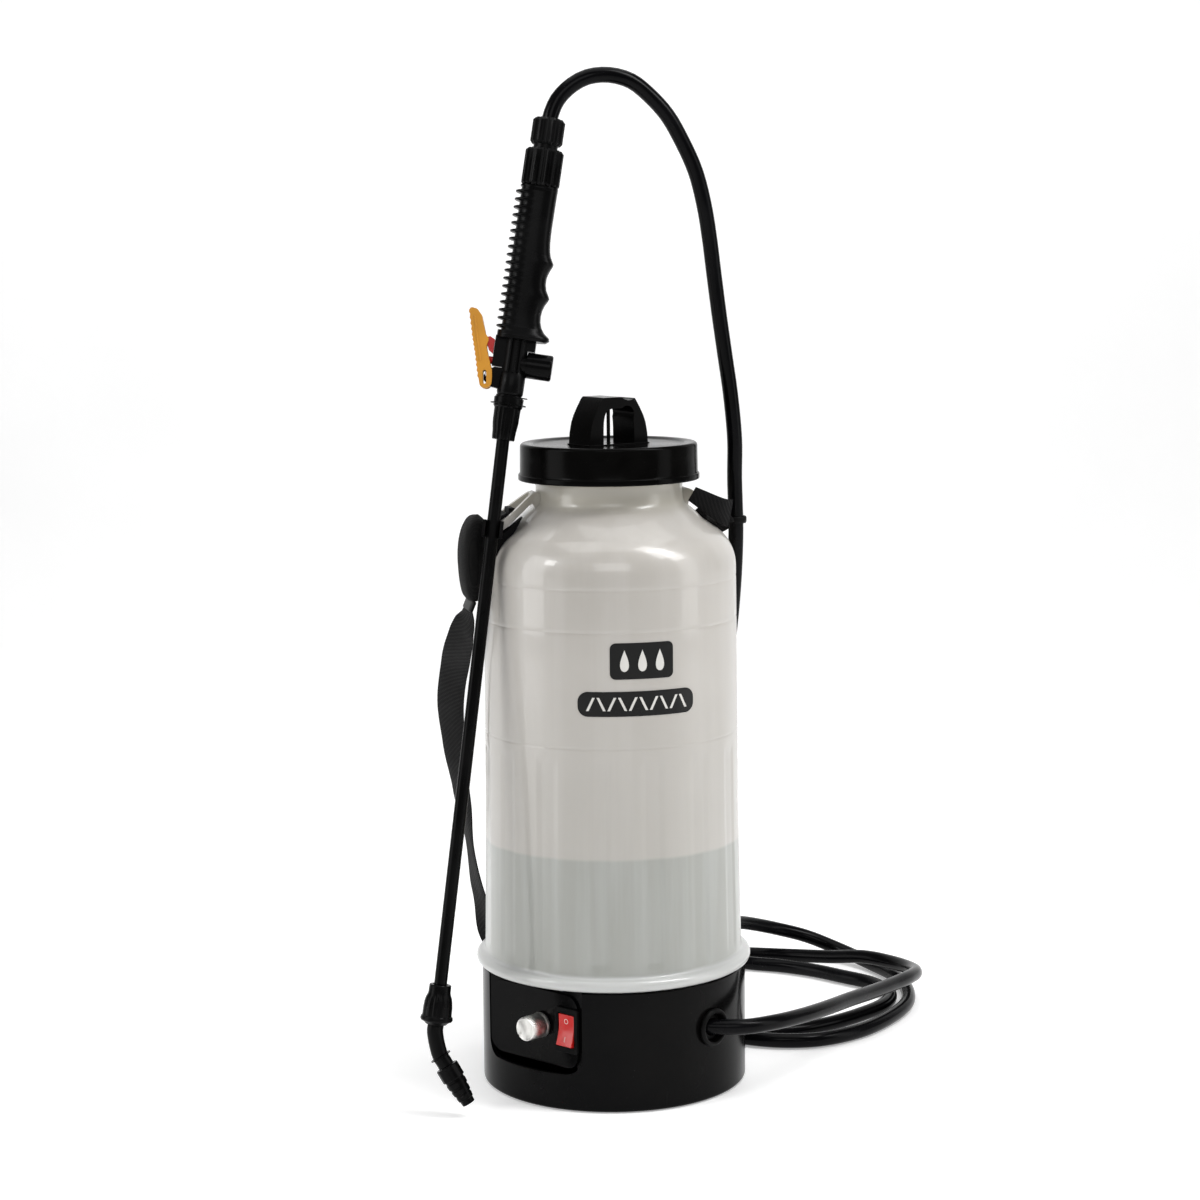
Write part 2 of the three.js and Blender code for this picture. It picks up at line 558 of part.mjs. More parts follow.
part("strap_web_right", band([
  [[-5.4, 117, 33], UPRIGHT], [[8, 117, 33.6], UPRIGHT], [[26, 113, 46], [-0.6, 0.05, 0.8]],
  [[38, 107, 80], [-0.95, -0.2, 0.2]], [[42, 103, 140], [-0.95, -0.3, 0]],
  [[44, 102, 220], [-0.93, -0.36, 0]], [[46, 100, 310], [-0.93, -0.36, 0]],
  [[54, 92, 360], [-0.8, -0.5, 0.3]], [[70, 74, 392], [-0.4, -0.4, 0.8]], [[83, 56, 403], [-0.1, -0.1, 1]],
], WEB_WIDE, WEB_THICK, 28), webbing);
part("strap_tab", band([
  [[60, -6, 421.6], UPRIGHT], [[72, -5.5, 415], UPRIGHT], [[80.5, -3.6, 410.6], UPRIGHT],
  [[85.5, 1, 408], UPRIGHT],
], 16, WEB_THICK, 8), webbing);
part("hose_tie", ring(HOSE_R + 0.9, HOSE_R + 2.4, -2.4, 2.4, 14).translate(91.8, 45.3, 399), rubber);

// ---------------------------------------------------------------- lance, in the handle's frame
// Local X is across, towards the hose side, Y is away, and Z runs up the handle from its foot.
const lanceUp = LANCE_HEAD.map((c, i) => c - LANCE_FOOT[i]);
const lance = groupAt(frameAlong(LANCE_FOOT, lanceUp, [1, 0, 0]));
const GRIP_LOW = 75;
const GRIP_HIGH = 176;
const HEAD_Z = 223.5;            // top of the hose nut
const BORE_R = 6;                // the grip's bore

// A ribbed nut: an even outline of ridges and grooves round a bore.
function ribbedNut(outer, inner, low, high, ribs) {
  const points = Array.from({ length: ribs * 2 }, (_, i) => {
    const a = (Math.PI * i) / ribs;
    const r = i % 2 === 0 ? outer : outer - 1.1;
    return [r * Math.cos(a), r * Math.sin(a)];
  });
  return plate(points, low, high, [circle(inner, 20)]);
}

// Wide enough inside for the tail's flange, and close round the hose above it.
function hoseNut() {
  return cut(ribbedNut(11.1, BORE_R + 0.8, 205.3, HEAD_Z, 16), rod(8.8, 200, 214, 20));
}

// The grip's side view: a toothed back, finger grooves in front and a guard at the bottom.
function gripSide() {
  const teeth = 18;
  const pitch = (GRIP_HIGH - GRIP_LOW - 2) / teeth;
  const back = Array.from({ length: teeth }, (_, i) => GRIP_LOW + 2 + pitch * i).flatMap((z) => [
    [-12.4, z], [-15.8, z + pitch * 0.35], [-15.8, z + pitch * 0.65], [-12.4, z + pitch * 0.95],
  ]);
  const front = [
    [12.6, GRIP_HIGH], [12.6, 140], [14.2, 131], [17, 124], [15, 118], [13.9, 113], [15, 107], [17.6, 100.5],
    [15, 94], [13.4, 86], [15.5, 79.5], [21.8, 72.5], [20.5, 70], [-15.4, 74.6],
  ];
  return [...back, ...front];
}

function grip() {
  const side = plate(gripSide(), -14, 14).rotateX(Math.PI / 2);
  const section = plate(roundRect(-16.5, 22.5, -11.8, 11.8, 9, 4), 60, 190);
  return cut(common(side, section), rod(BORE_R, 50, 190, 20));
}

const valveWay = new THREE.Matrix4().makeRotationY(Math.PI / 2).setPosition(0, 0, VALVE_S);
const BOSS_END = 14.3;           // end of the valve boss, across the handle

function valveBody() {
  const barrel = turned([
    [0, 14], [6.3, 14], [6.3, 31.6], [8.5, 32.4], [8.5, 66], [7.6, 69], [5.6, 69.4], [5.6, 190], [0, 190],
  ], 28);
  const boss = placed(rod(7, 0, BOSS_END, 20), valveWay);
  const latch = block(4, 13, -4, 4, 62.8, 69.6);
  const ear = plate([[-5, 34], [-15, 35], [-20, 39], [-20, 46], [-13, 49], [-5, 49]], -4.2, 4.2);
  const slide = block(-15, -6, -4.2, 4.2, 49.6, 72);
  const bores = [
    rod(3.4, 10, 200, 14), rod(TUBE_R + 0.6, 10, 25, 16), placed(rod(3, -20, 20, 12), valveWay),
    placed(rod(4.6, 5, 20, 16), valveWay),
    rod(1.9, -10, 10, 10).rotateX(Math.PI / 2).translate(LEVER_PIVOT[0], 0, LEVER_PIVOT[1]),
  ];
  return cut(join(barrel, boss, latch, ear.rotateX(Math.PI / 2), slide), ...bores);
}

// The thumb lever: a channel whose cheeks hold the pin, with a serrated outer edge.
function triggerLever() {
  const edge = [[-22.2, 37], [-23.4, 41], [-27.2, 55.4], [-31.2, 68.4], [-34.2, 79.7], [-35.4, 84]];
  const serrations = edge.slice(1).flatMap(([x, z], i) => [0.25, 0.5, 0.75, 1].flatMap((t) => {
    const at = [edge[i][0] + (x - edge[i][0]) * t, edge[i][1] + (z - edge[i][1]) * t];
    return [[at[0] + 0.8, at[1] - 1.2], [at[0] - 0.2, at[1]]];
  }));
  const side = [
    [-13.3, 37], [-16.7, 33.4], [-21.1, 34.8], ...serrations, [-33.8, 86.9], [-29.9, 86.3], [-26.4, 82.6],
    [-22.1, 70.5], [-19.4, 66.7], [-20, 61.5], [-16.3, 51.1], [-13.6, 43],
  ];
  const whole = plate(side, -7.2, 7.2).rotateX(Math.PI / 2);
  const channel = plate([
    [-10, 28], [-20.6, 28], [-20.9, 41], [-24.2, 55], [-28.9, 72], [-29.4, 76], [-10, 76],
  ], -4.6, 4.6).rotateX(Math.PI / 2);
  const eye = rod(1.9, -10, 10, 10).rotateX(Math.PI / 2).translate(LEVER_PIVOT[0], 0, LEVER_PIVOT[1]);
  return cut(whole, channel, eye);
}

function valvePlunger() {
  return placed(turned([
    [0, -21.2], [2.4, -21.2], [2.7, -20.6], [2.7, 5.6], [4.2, 5.6], [4.2, 9], [1.6, 9], [1.6, 12], [0, 12],
  ], 12), valveWay);
}

function coil(radius, wire, low, high, turns) {
  const count = turns * 10;
  const points = Array.from({ length: count + 1 }, (_, i) => {
    const a = (2 * Math.PI * i) / 10;
    return [radius * Math.cos(a), radius * Math.sin(a), low + ((high - low) * i) / count];
  });
  return tube(points, wire, 4, count);
}

part("grip", grip(), satin, lance);
part("valve_body", valveBody(), satin, lance);
part("valve_plunger", valvePlunger(), red, lance);
part("valve_spring", placed(coil(3, 0.5, 11.6, 22, 4), valveWay), steel, lance);
part("valve_cap", placed(turned([
  [7.3, 9.4], [8.9, 9.4], [8.9, 25.4], [7.8, 26.6], [0, 26.6], [0, 22.8], [4.4, 22.8], [4.4, 14.7],
  [7.3, 14.7], [7.3, 9.4],
], 24), valveWay), gloss, lance);
part("trigger_lever", triggerLever(), yellow, lance);
part("trigger_pin", rod(1.6, -7, 7, 10).rotateX(Math.PI / 2).translate(LEVER_PIVOT[0], 0, LEVER_PIVOT[1]),
  steel, lance);
part("trigger_lock", plate([
  [-15.3, 57.6], [-18.6, 60], [-20.2, 64], [-20.9, 68.6], [-18.8, 69.4], [-15.3, 67.6],
], -3.6, 3.6).rotateX(Math.PI / 2), red, lance);
part("coupling_nut", ribbedNut(13.3, BORE_R, GRIP_HIGH + GAP, 202, 18), satin, lance);
part("hose_tail", turned([
  [1.8, 191], [5.6, 191], [5.6, 203], [8.4, 203.2], [8.4, 204.8], [4.4, 205.2], [4.4, 212], [1.8, 212],
  [1.8, 191],
], 16), brass, lance);
part("hose_nut", hoseNut(), satin, lance);
part("lance_nut", turned([
  [5.3, 0], [7.8, 0], [8.2, 4], [9, 22], [10.4, 24], [10.4, 31], [6.7, 31], [6.7, 12.5], [5.3, 12.5],
  [5.3, 0],
], 24), satin, lance);

// ---------------------------------------------------------------- lance tube and nozzle
const tubeUp = LANCE_FOOT.map((c, i) => c - TUBE_FOOT[i]);
const tubeFrame = frameAlong(TUBE_FOOT, tubeUp, [1, 0, 0]);
const TUBE_LONG = Math.hypot(...tubeUp);
const wand = groupAt(tubeFrame);
part("lance_tube", ring(3.4, TUBE_R, -9.4, TUBE_LONG + 12, 16), satin, wand);
part("nozzle_nut", turned([
  [5.3, 0], [7.4, 0], [7.7, -5.5], [9.6, -11], [10.2, -21.5], [11.2, -22.8], [11.2, -24.4], [9.2, -25.6],
  [7, -27.6], [6.3, -27.6], [5.3, -25], [5.3, 0],
], 24), satin, wand);

const BEND_DOWN = 42;            // from the tube's lower end to the elbow's bend
const bendAt = new THREE.Vector3(0, 0, -BEND_DOWN).applyMatrix4(tubeFrame);
const nozzleFrame = frameAlong(bendAt.toArray(), NOZZLE_WAY, [0, 1, 0]);
const nozzle = groupAt(nozzleFrame);

function nozzleElbow() {
  const route = (first, last) => {
    const down = [first, -26, -34].map((z) => new THREE.Vector3(0, 0, z).applyMatrix4(tubeFrame));
    const out = [8, 14, last].map((z) => new THREE.Vector3(0, 0, z).applyMatrix4(nozzleFrame));
    return [...down, ...out].map((v) => v.toArray());
  };
  const arm = tube(route(-10.4, 16), 5, 10, 8);
  const collar = placed(rod(7.4, 15.4, 17, 20), nozzleFrame);
  const spigot = placed(rod(4, 16, 30, 14), nozzleFrame);
  return cut(join(arm, collar, spigot), tube(route(-5, 36), 2.4, 6, 8));
}

function nozzleCap() {
  const body = turned([
    [5.9, 17.5], [8, 17.5], [8, 27], [7.3, 27.6], [7.1, 33.6], [6.6, 34], [6.3, 39], [5.6, 40.6],
    [4.6, 47.5], [0.9, 47.5], [0.9, 42], [4.6, 40], [4.6, 20.2], [5.9, 20.2], [5.9, 17.5],
  ], 14);
  const grooves = [27.8, 34].map((z) => ring(6.1, 9, z, z + 1.2, 14));
  return cut(body, ...grooves);
}

part("nozzle_elbow", nozzleElbow(), satin);
part("nozzle_core", turned([
  [0, 25], [1.9, 25], [1.9, 30.4], [3.6, 30.4], [3.6, 36], [1, 37.4], [0, 37.4],
], 12), brass, nozzle);
part("nozzle_seal", ring(4.3, 5.6, 17.9, 19.7, 16), rubber, nozzle);
part("nozzle_cap", nozzleCap(), satin, nozzle);

// ---------------------------------------------------------------- lance clip on the left lug
const CLIP_LOW = 311;            // its ends, along the lance tube
const CLIP_HIGH = 323;

function lanceClip() {
  const lugFrame = frameAlong([0, 0, 0], leftAcross, leftOut);
  const inner = TUBE_R + 0.5;
  const spring = placed(plate([
    ...arc(0, 0, inner + 2.2, -20, 200, 10), [-inner - 2.2, -6], [inner + 2.2, -6],
  ], CLIP_LOW, CLIP_HIGH), tubeFrame);
  const mouth = placed(plate([
    ...arc(0, 0, inner, 0, 180, 8), [-inner, -20], [inner, -20],
  ], CLIP_LOW - 5, CLIP_HIGH + 5), tubeFrame);
  const upright = (points, near, far) => placed(plate(points, near, far), lugFrame);
  const saddle = upright([
    [66.4, -410.5], [72.8, -405.6], [77, -402], [80, -400], [83.4, -401.8], [83.6, -405.4], [81.8, -408.4],
    [84, -410], [86.6, -406.6], [88.2, -401], [88.4, -388], [86, -383.5], [78.6, -391.5], [71, -402.5],
  ], 13.2, 20);
  const back = upright([[83.4, -408], [86.4, -406], [88.2, -400], [88.2, -392], [83.4, -392]], 18, 24);
  const shoulder = turned([
    [0, 340], [91, 340], ...arc(BODY_R - SHOULDER_R, SHOULDER_Z, SHOULDER_R + 0.7, 0, 54, 8),
    [56.8, 415], [0, 415],
  ], 72);
  const arm = upright([
    [57, -426], [80.9, -407.6], [82.9, -405], [82.7, -402.2], [80, -401], [77.1, -402.7], [57, -418.2],
  ], 12, LUG_HALF + 0.35);
  const strapRoom = upright([[60, -430], [100, -430], [100, -380], [60, -380]], 12, 13.2);
  return cut(join(spring, saddle, back), mouth, arm, strapRoom, shoulder);
}

part("lance_clip", lanceClip(), satin);

export default sprayer;
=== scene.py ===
"""A cordless bottle sprayer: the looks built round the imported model.

Blender works in metres. Small shapes are written in millimetres and scaled by MM as they are made.
"""

import math

import bmesh
import bpy
import numpy as np
from mathutils import Matrix, Vector


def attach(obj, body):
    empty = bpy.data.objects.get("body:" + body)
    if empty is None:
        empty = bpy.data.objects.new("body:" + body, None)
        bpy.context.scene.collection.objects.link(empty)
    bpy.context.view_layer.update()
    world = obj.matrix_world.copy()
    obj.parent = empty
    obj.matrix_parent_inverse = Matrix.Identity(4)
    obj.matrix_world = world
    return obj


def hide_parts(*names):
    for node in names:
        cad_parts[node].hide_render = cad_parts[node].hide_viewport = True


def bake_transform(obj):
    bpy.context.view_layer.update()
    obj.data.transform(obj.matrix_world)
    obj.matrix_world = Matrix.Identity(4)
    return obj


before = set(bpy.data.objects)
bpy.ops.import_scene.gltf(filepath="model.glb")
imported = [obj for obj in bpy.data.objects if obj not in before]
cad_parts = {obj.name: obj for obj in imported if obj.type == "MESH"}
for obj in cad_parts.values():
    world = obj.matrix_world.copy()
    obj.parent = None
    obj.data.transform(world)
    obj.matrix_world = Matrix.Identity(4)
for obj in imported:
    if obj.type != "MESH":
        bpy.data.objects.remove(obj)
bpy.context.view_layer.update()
scene = bpy.context.scene

MM = 0.001


def away(degrees):
    """The level direction at that heading, counted from straight ahead (-Y) towards +X."""
    turn = math.radians(degrees)
    return Vector((math.sin(turn), -math.cos(turn), 0))


def frame_along(origin, way, near_x):
    """A frame whose Z runs along way, and whose X stays nearest to near_x."""
    z = Vector(way).normalized()
    x = Vector(near_x)
    x = (x - z * x.dot(z)).normalized()
    y = z.cross(x)
    turn = Matrix((x, y, z)).transposed().to_4x4()
    return Matrix.Translation(Vector(origin)) @ turn


# -------- frames, in millimetres
LEVEL = Matrix.Identity(4)
PANEL_TURN = -41.5
PANEL = frame_along((0, 0, 0), away(PANEL_TURN), away(PANEL_TURN + 90))
OUTLET_TURN = 46
OUTLET_AT = (68.3, -66, 53)
OUTLET = frame_along(OUTLET_AT, away(OUTLET_TURN), away(OUTLET_TURN + 90))
LANCE_FOOT = Vector((-73, -39.3, 464.8))
LANCE_HEAD = Vector((-39.6, -13, 676.5))
LANCE = frame_along(LANCE_FOOT, LANCE_HEAD - LANCE_FOOT, (1, 0, 0))
TUBE_FOOT = Vector((-120.3, -88, 92))
TUBE = frame_along(TUBE_FOOT, LANCE_FOOT - TUBE_FOOT, (1, 0, 0))
TUBE_LONG = (LANCE_FOOT - TUBE_FOOT).length
BEND_DOWN = 42
NOZZLE = frame_along(TUBE @ Vector((0, 0, -BEND_DOWN)), (0.505, -0.1, -0.857), (0, 1, 0))
VALVE_S = 53.3
VALVE = LANCE @ Matrix.Translation((0, 0, VALVE_S)) @ Matrix.Rotation(math.pi / 2, 4, "Y")
LUG_TURNS = {"left": -77, "right": 103}
CONTROL_Z, KNOB_S, SWITCH_S = 57.5, 8, 32     # the controls' height, and places across the panel


# -------- camera
CAMERA_AT, CAMERA_LENS = (-0.00716, -1.9036, 0.6076), 81.04
CAMERA_DOWN, CAMERA_ROLL = 0.1360, -0.0105


def add_camera():
    """The photograph's view: a long lens above the tank's middle, looking slightly down."""
    data = bpy.data.cameras.new("camera")
    data.sensor_width = 36
    data.lens = CAMERA_LENS
    data.clip_end = 50
    camera = bpy.data.objects.new("camera", data)
    ahead = Vector((0, math.cos(CAMERA_DOWN), -math.sin(CAMERA_DOWN)))
    up = Vector((0, math.sin(CAMERA_DOWN), math.cos(CAMERA_DOWN)))
    across = Vector((1, 0, 0))
    right = across * math.cos(CAMERA_ROLL) + up * math.sin(CAMERA_ROLL)
    top = up * math.cos(CAMERA_ROLL) - across * math.sin(CAMERA_ROLL)
    turn = Matrix((right, top, -ahead)).transposed().to_4x4()
    camera.matrix_world = Matrix.Translation(CAMERA_AT) @ turn
    scene.collection.objects.link(camera)
    scene.camera = camera


add_camera()


# -------- shapes: (points, faces) in millimetres
def turned(profile, sides=96, swell=None):
    """A profile of (radius, height) turned about Z. It ends on the axis, or else closes up.

    swell(row, turn) gives a change of radius for a row of the profile at a heading in degrees.
    """
    points, faces, rows = [], [], []
    for number, (radius, height) in enumerate(profile):
        if radius < 1e-6:
            rows.append([len(points)] * sides)
            points.append((0, 0, height))
            continue
        rows.append(list(range(len(points), len(points) + sides)))
        for side in range(sides):
            turn = 2 * math.pi * side / sides
            r = radius + (swell(number, math.degrees(turn)) if swell else 0)
            points.append((r * math.sin(turn), -r * math.cos(turn), height))
    pairs = list(zip(rows, rows[1:]))
    if profile[0][0] > 1e-6:
        pairs.append((rows[-1], rows[0]))
    for a, b in pairs:
        for side in range(sides):
            after = (side + 1) % sides
            corners = []
            for corner in (a[side], a[after], b[after], b[side]):
                if corner not in corners:
                    corners.append(corner)
            if len(corners) > 2:
                faces.append(corners)
    return points, faces


def lofted(rings):
    """Closed rings of equal count joined in order, with both ends filled."""
    count = len(rings[0])
    points = [tuple(p) for ring in rings for p in ring]
    faces = [list(range(count)), [len(points) - 1 - i for i in range(count)]]
    for k in range(len(rings) - 1):
        for i in range(count):
            j = (i + 1) % count
            faces.append([k * count + i, k * count + j, (k + 1) * count + j, (k + 1) * count + i])
    return points, faces


def extruded(outline, low, high):
    """An outline in X and Y, raised from low to high."""
    return lofted([[(x, y, z) for x, y in outline] for z in (low, high)])


def sideways(outline, near, far):
    """An outline in X and Z, spread along Y from near to far."""
    return lofted([[(x, y, z) for x, z in outline] for y in (near, far)])


def box(x0, x1, y0, y1, z0, z1):
    return extruded([(x0, y0), (x1, y0), (x1, y1), (x0, y1)], z0, z1)


def moved(shape, matrix):
    points, faces = shape
    return [tuple(matrix @ Vector(p)) for p in points], faces


def together(*shapes):
    points, faces = [], []
    for more_points, more_faces in shapes:
        start = len(points)
        points.extend(more_points)
        faces.extend([[i + start for i in face] for face in more_faces])
    return points, faces


def turn_about(axis, degrees):
    return Matrix.Rotation(math.radians(degrees), 4, axis)


def signed_power(value, power):
    return math.copysign(abs(value) ** power, value)


def grooves(rows, count, depth, crisp=5):
    """A swell for turned(): soft grooves round some rows of a profile."""
    def swell(row, turn):
        if row not in rows:
            return 0
        return -depth * (0.5 + 0.5 * math.tanh(crisp * math.sin(math.radians(turn) * count)))

    return swell


def arc(cx, cy, radius, first, last, steps):
    """Points of an arc, from one angle to another in degrees."""
    angles = [math.radians(first + (last - first) * i / steps) for i in range(steps + 1)]
    return [(cx + radius * math.cos(a), cy + radius * math.sin(a)) for a in angles]


def rounded_rectangle(x0, x1, y0, y1, r, steps=6):
    return (arc(x1 - r, y0 + r, r, -90, 0, steps) + arc(x1 - r, y1 - r, r, 0, 90, steps)
            + arc(x0 + r, y1 - r, r, 90, 180, steps) + arc(x0 + r, y0 + r, r, 180, 270, steps))


def smooth_path(stations, step):
    """A centripetal Catmull-Rom spline through the stations, sampled about every step."""
    knots = [Vector(p) for p in stations]
    knots = [knots[0] * 2 - knots[1], *knots, knots[-1] * 2 - knots[-2]]
    path = [knots[1]]
    for a, b, c, d in zip(knots, knots[1:], knots[2:], knots[3:]):
        times = [0.0]
        for p, q in ((a, b), (b, c), (c, d)):
            times.append(times[-1] + math.sqrt((q - p).length))
        t0, t1, t2, t3 = times
        count = max(2, round((c - b).length / step))
        for i in range(1, count + 1):
            t = t1 + (t2 - t1) * i / count
            p1 = a.lerp(b, (t - t0) / (t1 - t0))
            p2 = b.lerp(c, (t - t1) / (t2 - t1))
            p3 = c.lerp(d, (t - t2) / (t3 - t2))
            q1 = p1.lerp(p2, (t - t0) / (t2 - t0))
            q2 = p2.lerp(p3, (t - t1) / (t3 - t1))
            path.append(q1.lerp(q2, (t - t1) / (t2 - t1)))
    return path


def tangents(path):
    last = len(path) - 1
    return [(path[min(i + 1, last)] - path[max(i - 1, 0)]).normalized() for i in range(last + 1)]


def tube(path, radius, sides=16):
    """A round tube along a path. radius is one number, or one for each point."""
    radii = radius if isinstance(radius, (list, tuple)) else [radius] * len(path)
    ways = tangents(path)
    side = ways[0].orthogonal().normalized()
    rings = []
    for point, way, r in zip(path, ways, radii):
        side = (side - way * side.dot(way)).normalized()
        other = way.cross(side)
        turns = [2 * math.pi * i / sides for i in range(sides)]
        rings.append([point + side * (r * math.cos(a)) + other * (r * math.sin(a)) for a in turns])
    return lofted(rings)


def mesh_object(name, shape):
    points, faces = shape
    mesh = bpy.data.meshes.new(name)
    mesh.from_pydata([Vector(p) * MM for p in points], [], faces)
    made = bmesh.new()
    made.from_mesh(mesh)
    bmesh.ops.recalc_face_normals(made, faces=made.faces)
    made.to_mesh(mesh)
    made.free()
    obj = bpy.data.objects.new(name, mesh)
    scene.collection.objects.link(obj)
    return obj


def apply_modifiers(obj):
    bpy.context.view_layer.update()
    graph = bpy.context.evaluated_depsgraph_get()
    mesh = bpy.data.meshes.new_from_object(obj.evaluated_get(graph))
    obj.modifiers.clear()
    obj.data = mesh


def boolean(obj, operation, *shapes):
    """Cuts the shapes from the piece, or joins them to it."""
    for shape in shapes:
        tool = mesh_object("tool", shape)
        change = obj.modifiers.new("boolean", "BOOLEAN")
        change.operation = operation
        change.solver = "EXACT"
        change.object = tool
        apply_modifiers(obj)
        bpy.data.objects.remove(tool)


def smooth_faces(mesh):
    mesh.polygons.foreach_set("use_smooth", [True] * len(mesh.polygons))


def shade(obj, sharp=35):
    smooth_faces(obj.data)
    obj.data.set_sharp_from_angle(angle=math.radians(sharp))


def soften(obj, width, segments=3, sharp=30):
    """Rounds the piece's edges. width is in millimetres."""
    bevel = obj.modifiers.new("edges", "BEVEL")
    bevel.width = width * MM
    bevel.segments = segments
    bevel.limit_method = "ANGLE"
    bevel.angle_limit = math.radians(sharp)
    bevel.harden_normals = True
    bevel.use_clamp_overlap = True


def piece(name, shape, look, body, stands_for=(), at=LEVEL, cuts=(), joins=(), edge=0, sharp=35):
    """One piece: made in a frame, joined and cut, its edges rounded, and put on its body.
    """
    obj = mesh_object(name, moved(shape, at))
    boolean(obj, "UNION", *[moved(other, at) for other in joins])
    boolean(obj, "DIFFERENCE", *[moved(tool, at) for tool in cuts])
    obj.data.materials.clear()
    obj.data.materials.append(look)
    shade(obj, sharp)
    if edge:
        soften(obj, edge)
    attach(obj, body)
    if stands_for:
        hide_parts(*stands_for)
    return obj


# -------- materials
class Look:
    """A node-built material round one Principled shader."""

    def __init__(self, name, colour, roughness, metallic=0.0, specular=0.5):
        self.material = bpy.data.materials.new(name)
        self.material.use_nodes = True
        self.tree = self.material.node_tree
        self.shader = self.tree.nodes["Principled BSDF"]
        self.set(Base_Color=(*colour, 1), Roughness=roughness, Metallic=metallic,
                 Specular_IOR_Level=specular)
        self.place = self.node("ShaderNodeTexCoord").outputs["Object"]

    def feed(self, socket, value):
        """Links a socket to another one, or gives it a value."""
        if isinstance(value, bpy.types.NodeSocket):
            self.tree.links.new(value, socket)
        else:
            socket.default_value = value

    def node(self, kind, inputs=(), **settings):
        """A new node. inputs gives a value or a socket for each of its named or counted inputs."""
        node = self.tree.nodes.new(kind)
        for key, value in settings.items():
            setattr(node, key, value)
        for key, value in dict(inputs).items():
            self.feed(node.inputs[key], value)
        return node

    def noise(self, scale, detail=4, rough=0.55, stretch=None):
        where = self.place
        if stretch:
            mapping = self.node("ShaderNodeMapping", {"Vector": where, "Scale": stretch})
            where = mapping.outputs["Vector"]
        inputs = {"Vector": where, "Scale": scale, "Detail": detail, "Roughness": rough}
        return self.node("ShaderNodeTexNoise", inputs).outputs["Fac"]

    def wave(self, scale, distortion, source, **kind):
        inputs = {"Vector": source, "Scale": scale, "Distortion": distortion}
        return self.node("ShaderNodeTexWave", inputs, **kind).outputs["Fac"]

    def ranged(self, source, low, high, to_low=0, to_high=1):
        inputs = {"Value": source, "From Min": low, "From Max": high, "To Min": to_low,
                  "To Max": to_high}
        node = self.node("ShaderNodeMapRange", inputs, interpolation_type="SMOOTHSTEP")
        return node.outputs["Result"]

    def math(self, operation, first, second):
        return self.node("ShaderNodeMath", {0: first, 1: second}, operation=operation).outputs[0]

    def mix(self, amount, first, second):
        node = self.node("ShaderNodeMix", data_type="RGBA")
        sockets = [s for s in node.inputs if s.enabled]
        for socket, value in zip(sockets, (amount, first, second)):
            self.feed(socket, (*value, 1) if isinstance(value, tuple) else value)
        return [s for s in node.outputs if s.enabled][0]

    def bump(self, height, distance, strength, under=None):
        inputs = {"Height": height, "Distance": distance, "Strength": strength}
        if under is not None:
            inputs["Normal"] = under
        return self.node("ShaderNodeBump", inputs).outputs["Normal"]

    def set(self, **values):
        for key, value in values.items():
            self.feed(self.shader.inputs[key.replace("_", " ")], value)
        return self.material


def moulded(name, colour, roughness, grain=900, depth=0.08, patchy=0.25, scuffs=0.08, coat=0.0,
            specular=0.5):
    """Moulded plastic: fine grain (its depth in mm), uneven gloss, faint scuffs, a little dust."""
    look = Look(name, colour, roughness, specular=specular)
    patches = look.noise(22, 3)
    scuff = look.ranged(look.noise(60, 6, 0.7, stretch=(1, 1, 0.25)), 0.55, 0.75)
    light = tuple(min(1, c * (1 + patchy) + 0.001) for c in colour)
    dark = tuple(c * (1 - patchy) for c in colour)
    base = look.mix(look.ranged(patches, 0.35, 0.65), dark, light)
    dusty = tuple(min(1, c + scuffs * 0.2) for c in colour)
    base = look.mix(look.math("MULTIPLY", scuff, scuffs * 2), base, dusty)
    rough = look.ranged(patches, 0.3, 0.7, roughness * 0.85, roughness * 1.15)
    rough = look.math("ADD", rough, look.math("MULTIPLY", scuff, scuffs))
    normal = look.bump(look.noise(grain, 2), depth * MM, 0.4)
    return look.set(Base_Color=base, Roughness=rough, Normal=normal, Coat_Weight=coat,
                    Coat_Roughness=0.12)


def gloss_black():
    """Polished black moulding with dust specks and hair-fine scratches."""
    look = Look("gloss_black", (0.002, 0.002, 0.002), 0.14, specular=0.06)
    specks = look.node("ShaderNodeTexVoronoi", {"Vector": look.place, "Scale": 260})
    rare = look.ranged(look.noise(38, 2), 0.56, 0.7)
    dust = look.math("MULTIPLY", look.ranged(specks.outputs["Distance"], 0.1, 0.04), rare)
    haze = look.noise(14, 4)
    base = look.mix(look.ranged(haze, 0.35, 0.7), (0.0016, 0.0016, 0.0018),
                    (0.0034, 0.0032, 0.0031))
    base = look.mix(look.math("MULTIPLY", dust, 0.3), base, (0.10, 0.095, 0.09))
    scratch = look.ranged(look.noise(120, 3, 0.6, stretch=(1, 1, 0.06)), 0.6, 0.72, 0, 0.12)
    rough = look.math("ADD", look.ranged(haze, 0.3, 0.7, 0.11, 0.2), scratch)
    normal = look.bump(look.noise(45, 2), 0.00006, 0.25)
    return look.set(Base_Color=base, Roughness=rough, Normal=normal)


# Heights in metres at which the tank's colour changes.
RIM_LEVEL, DEEP_LEVEL, WATER_LEVEL, NECK_LEVEL = 0.097, 0.10, 0.178, 0.414


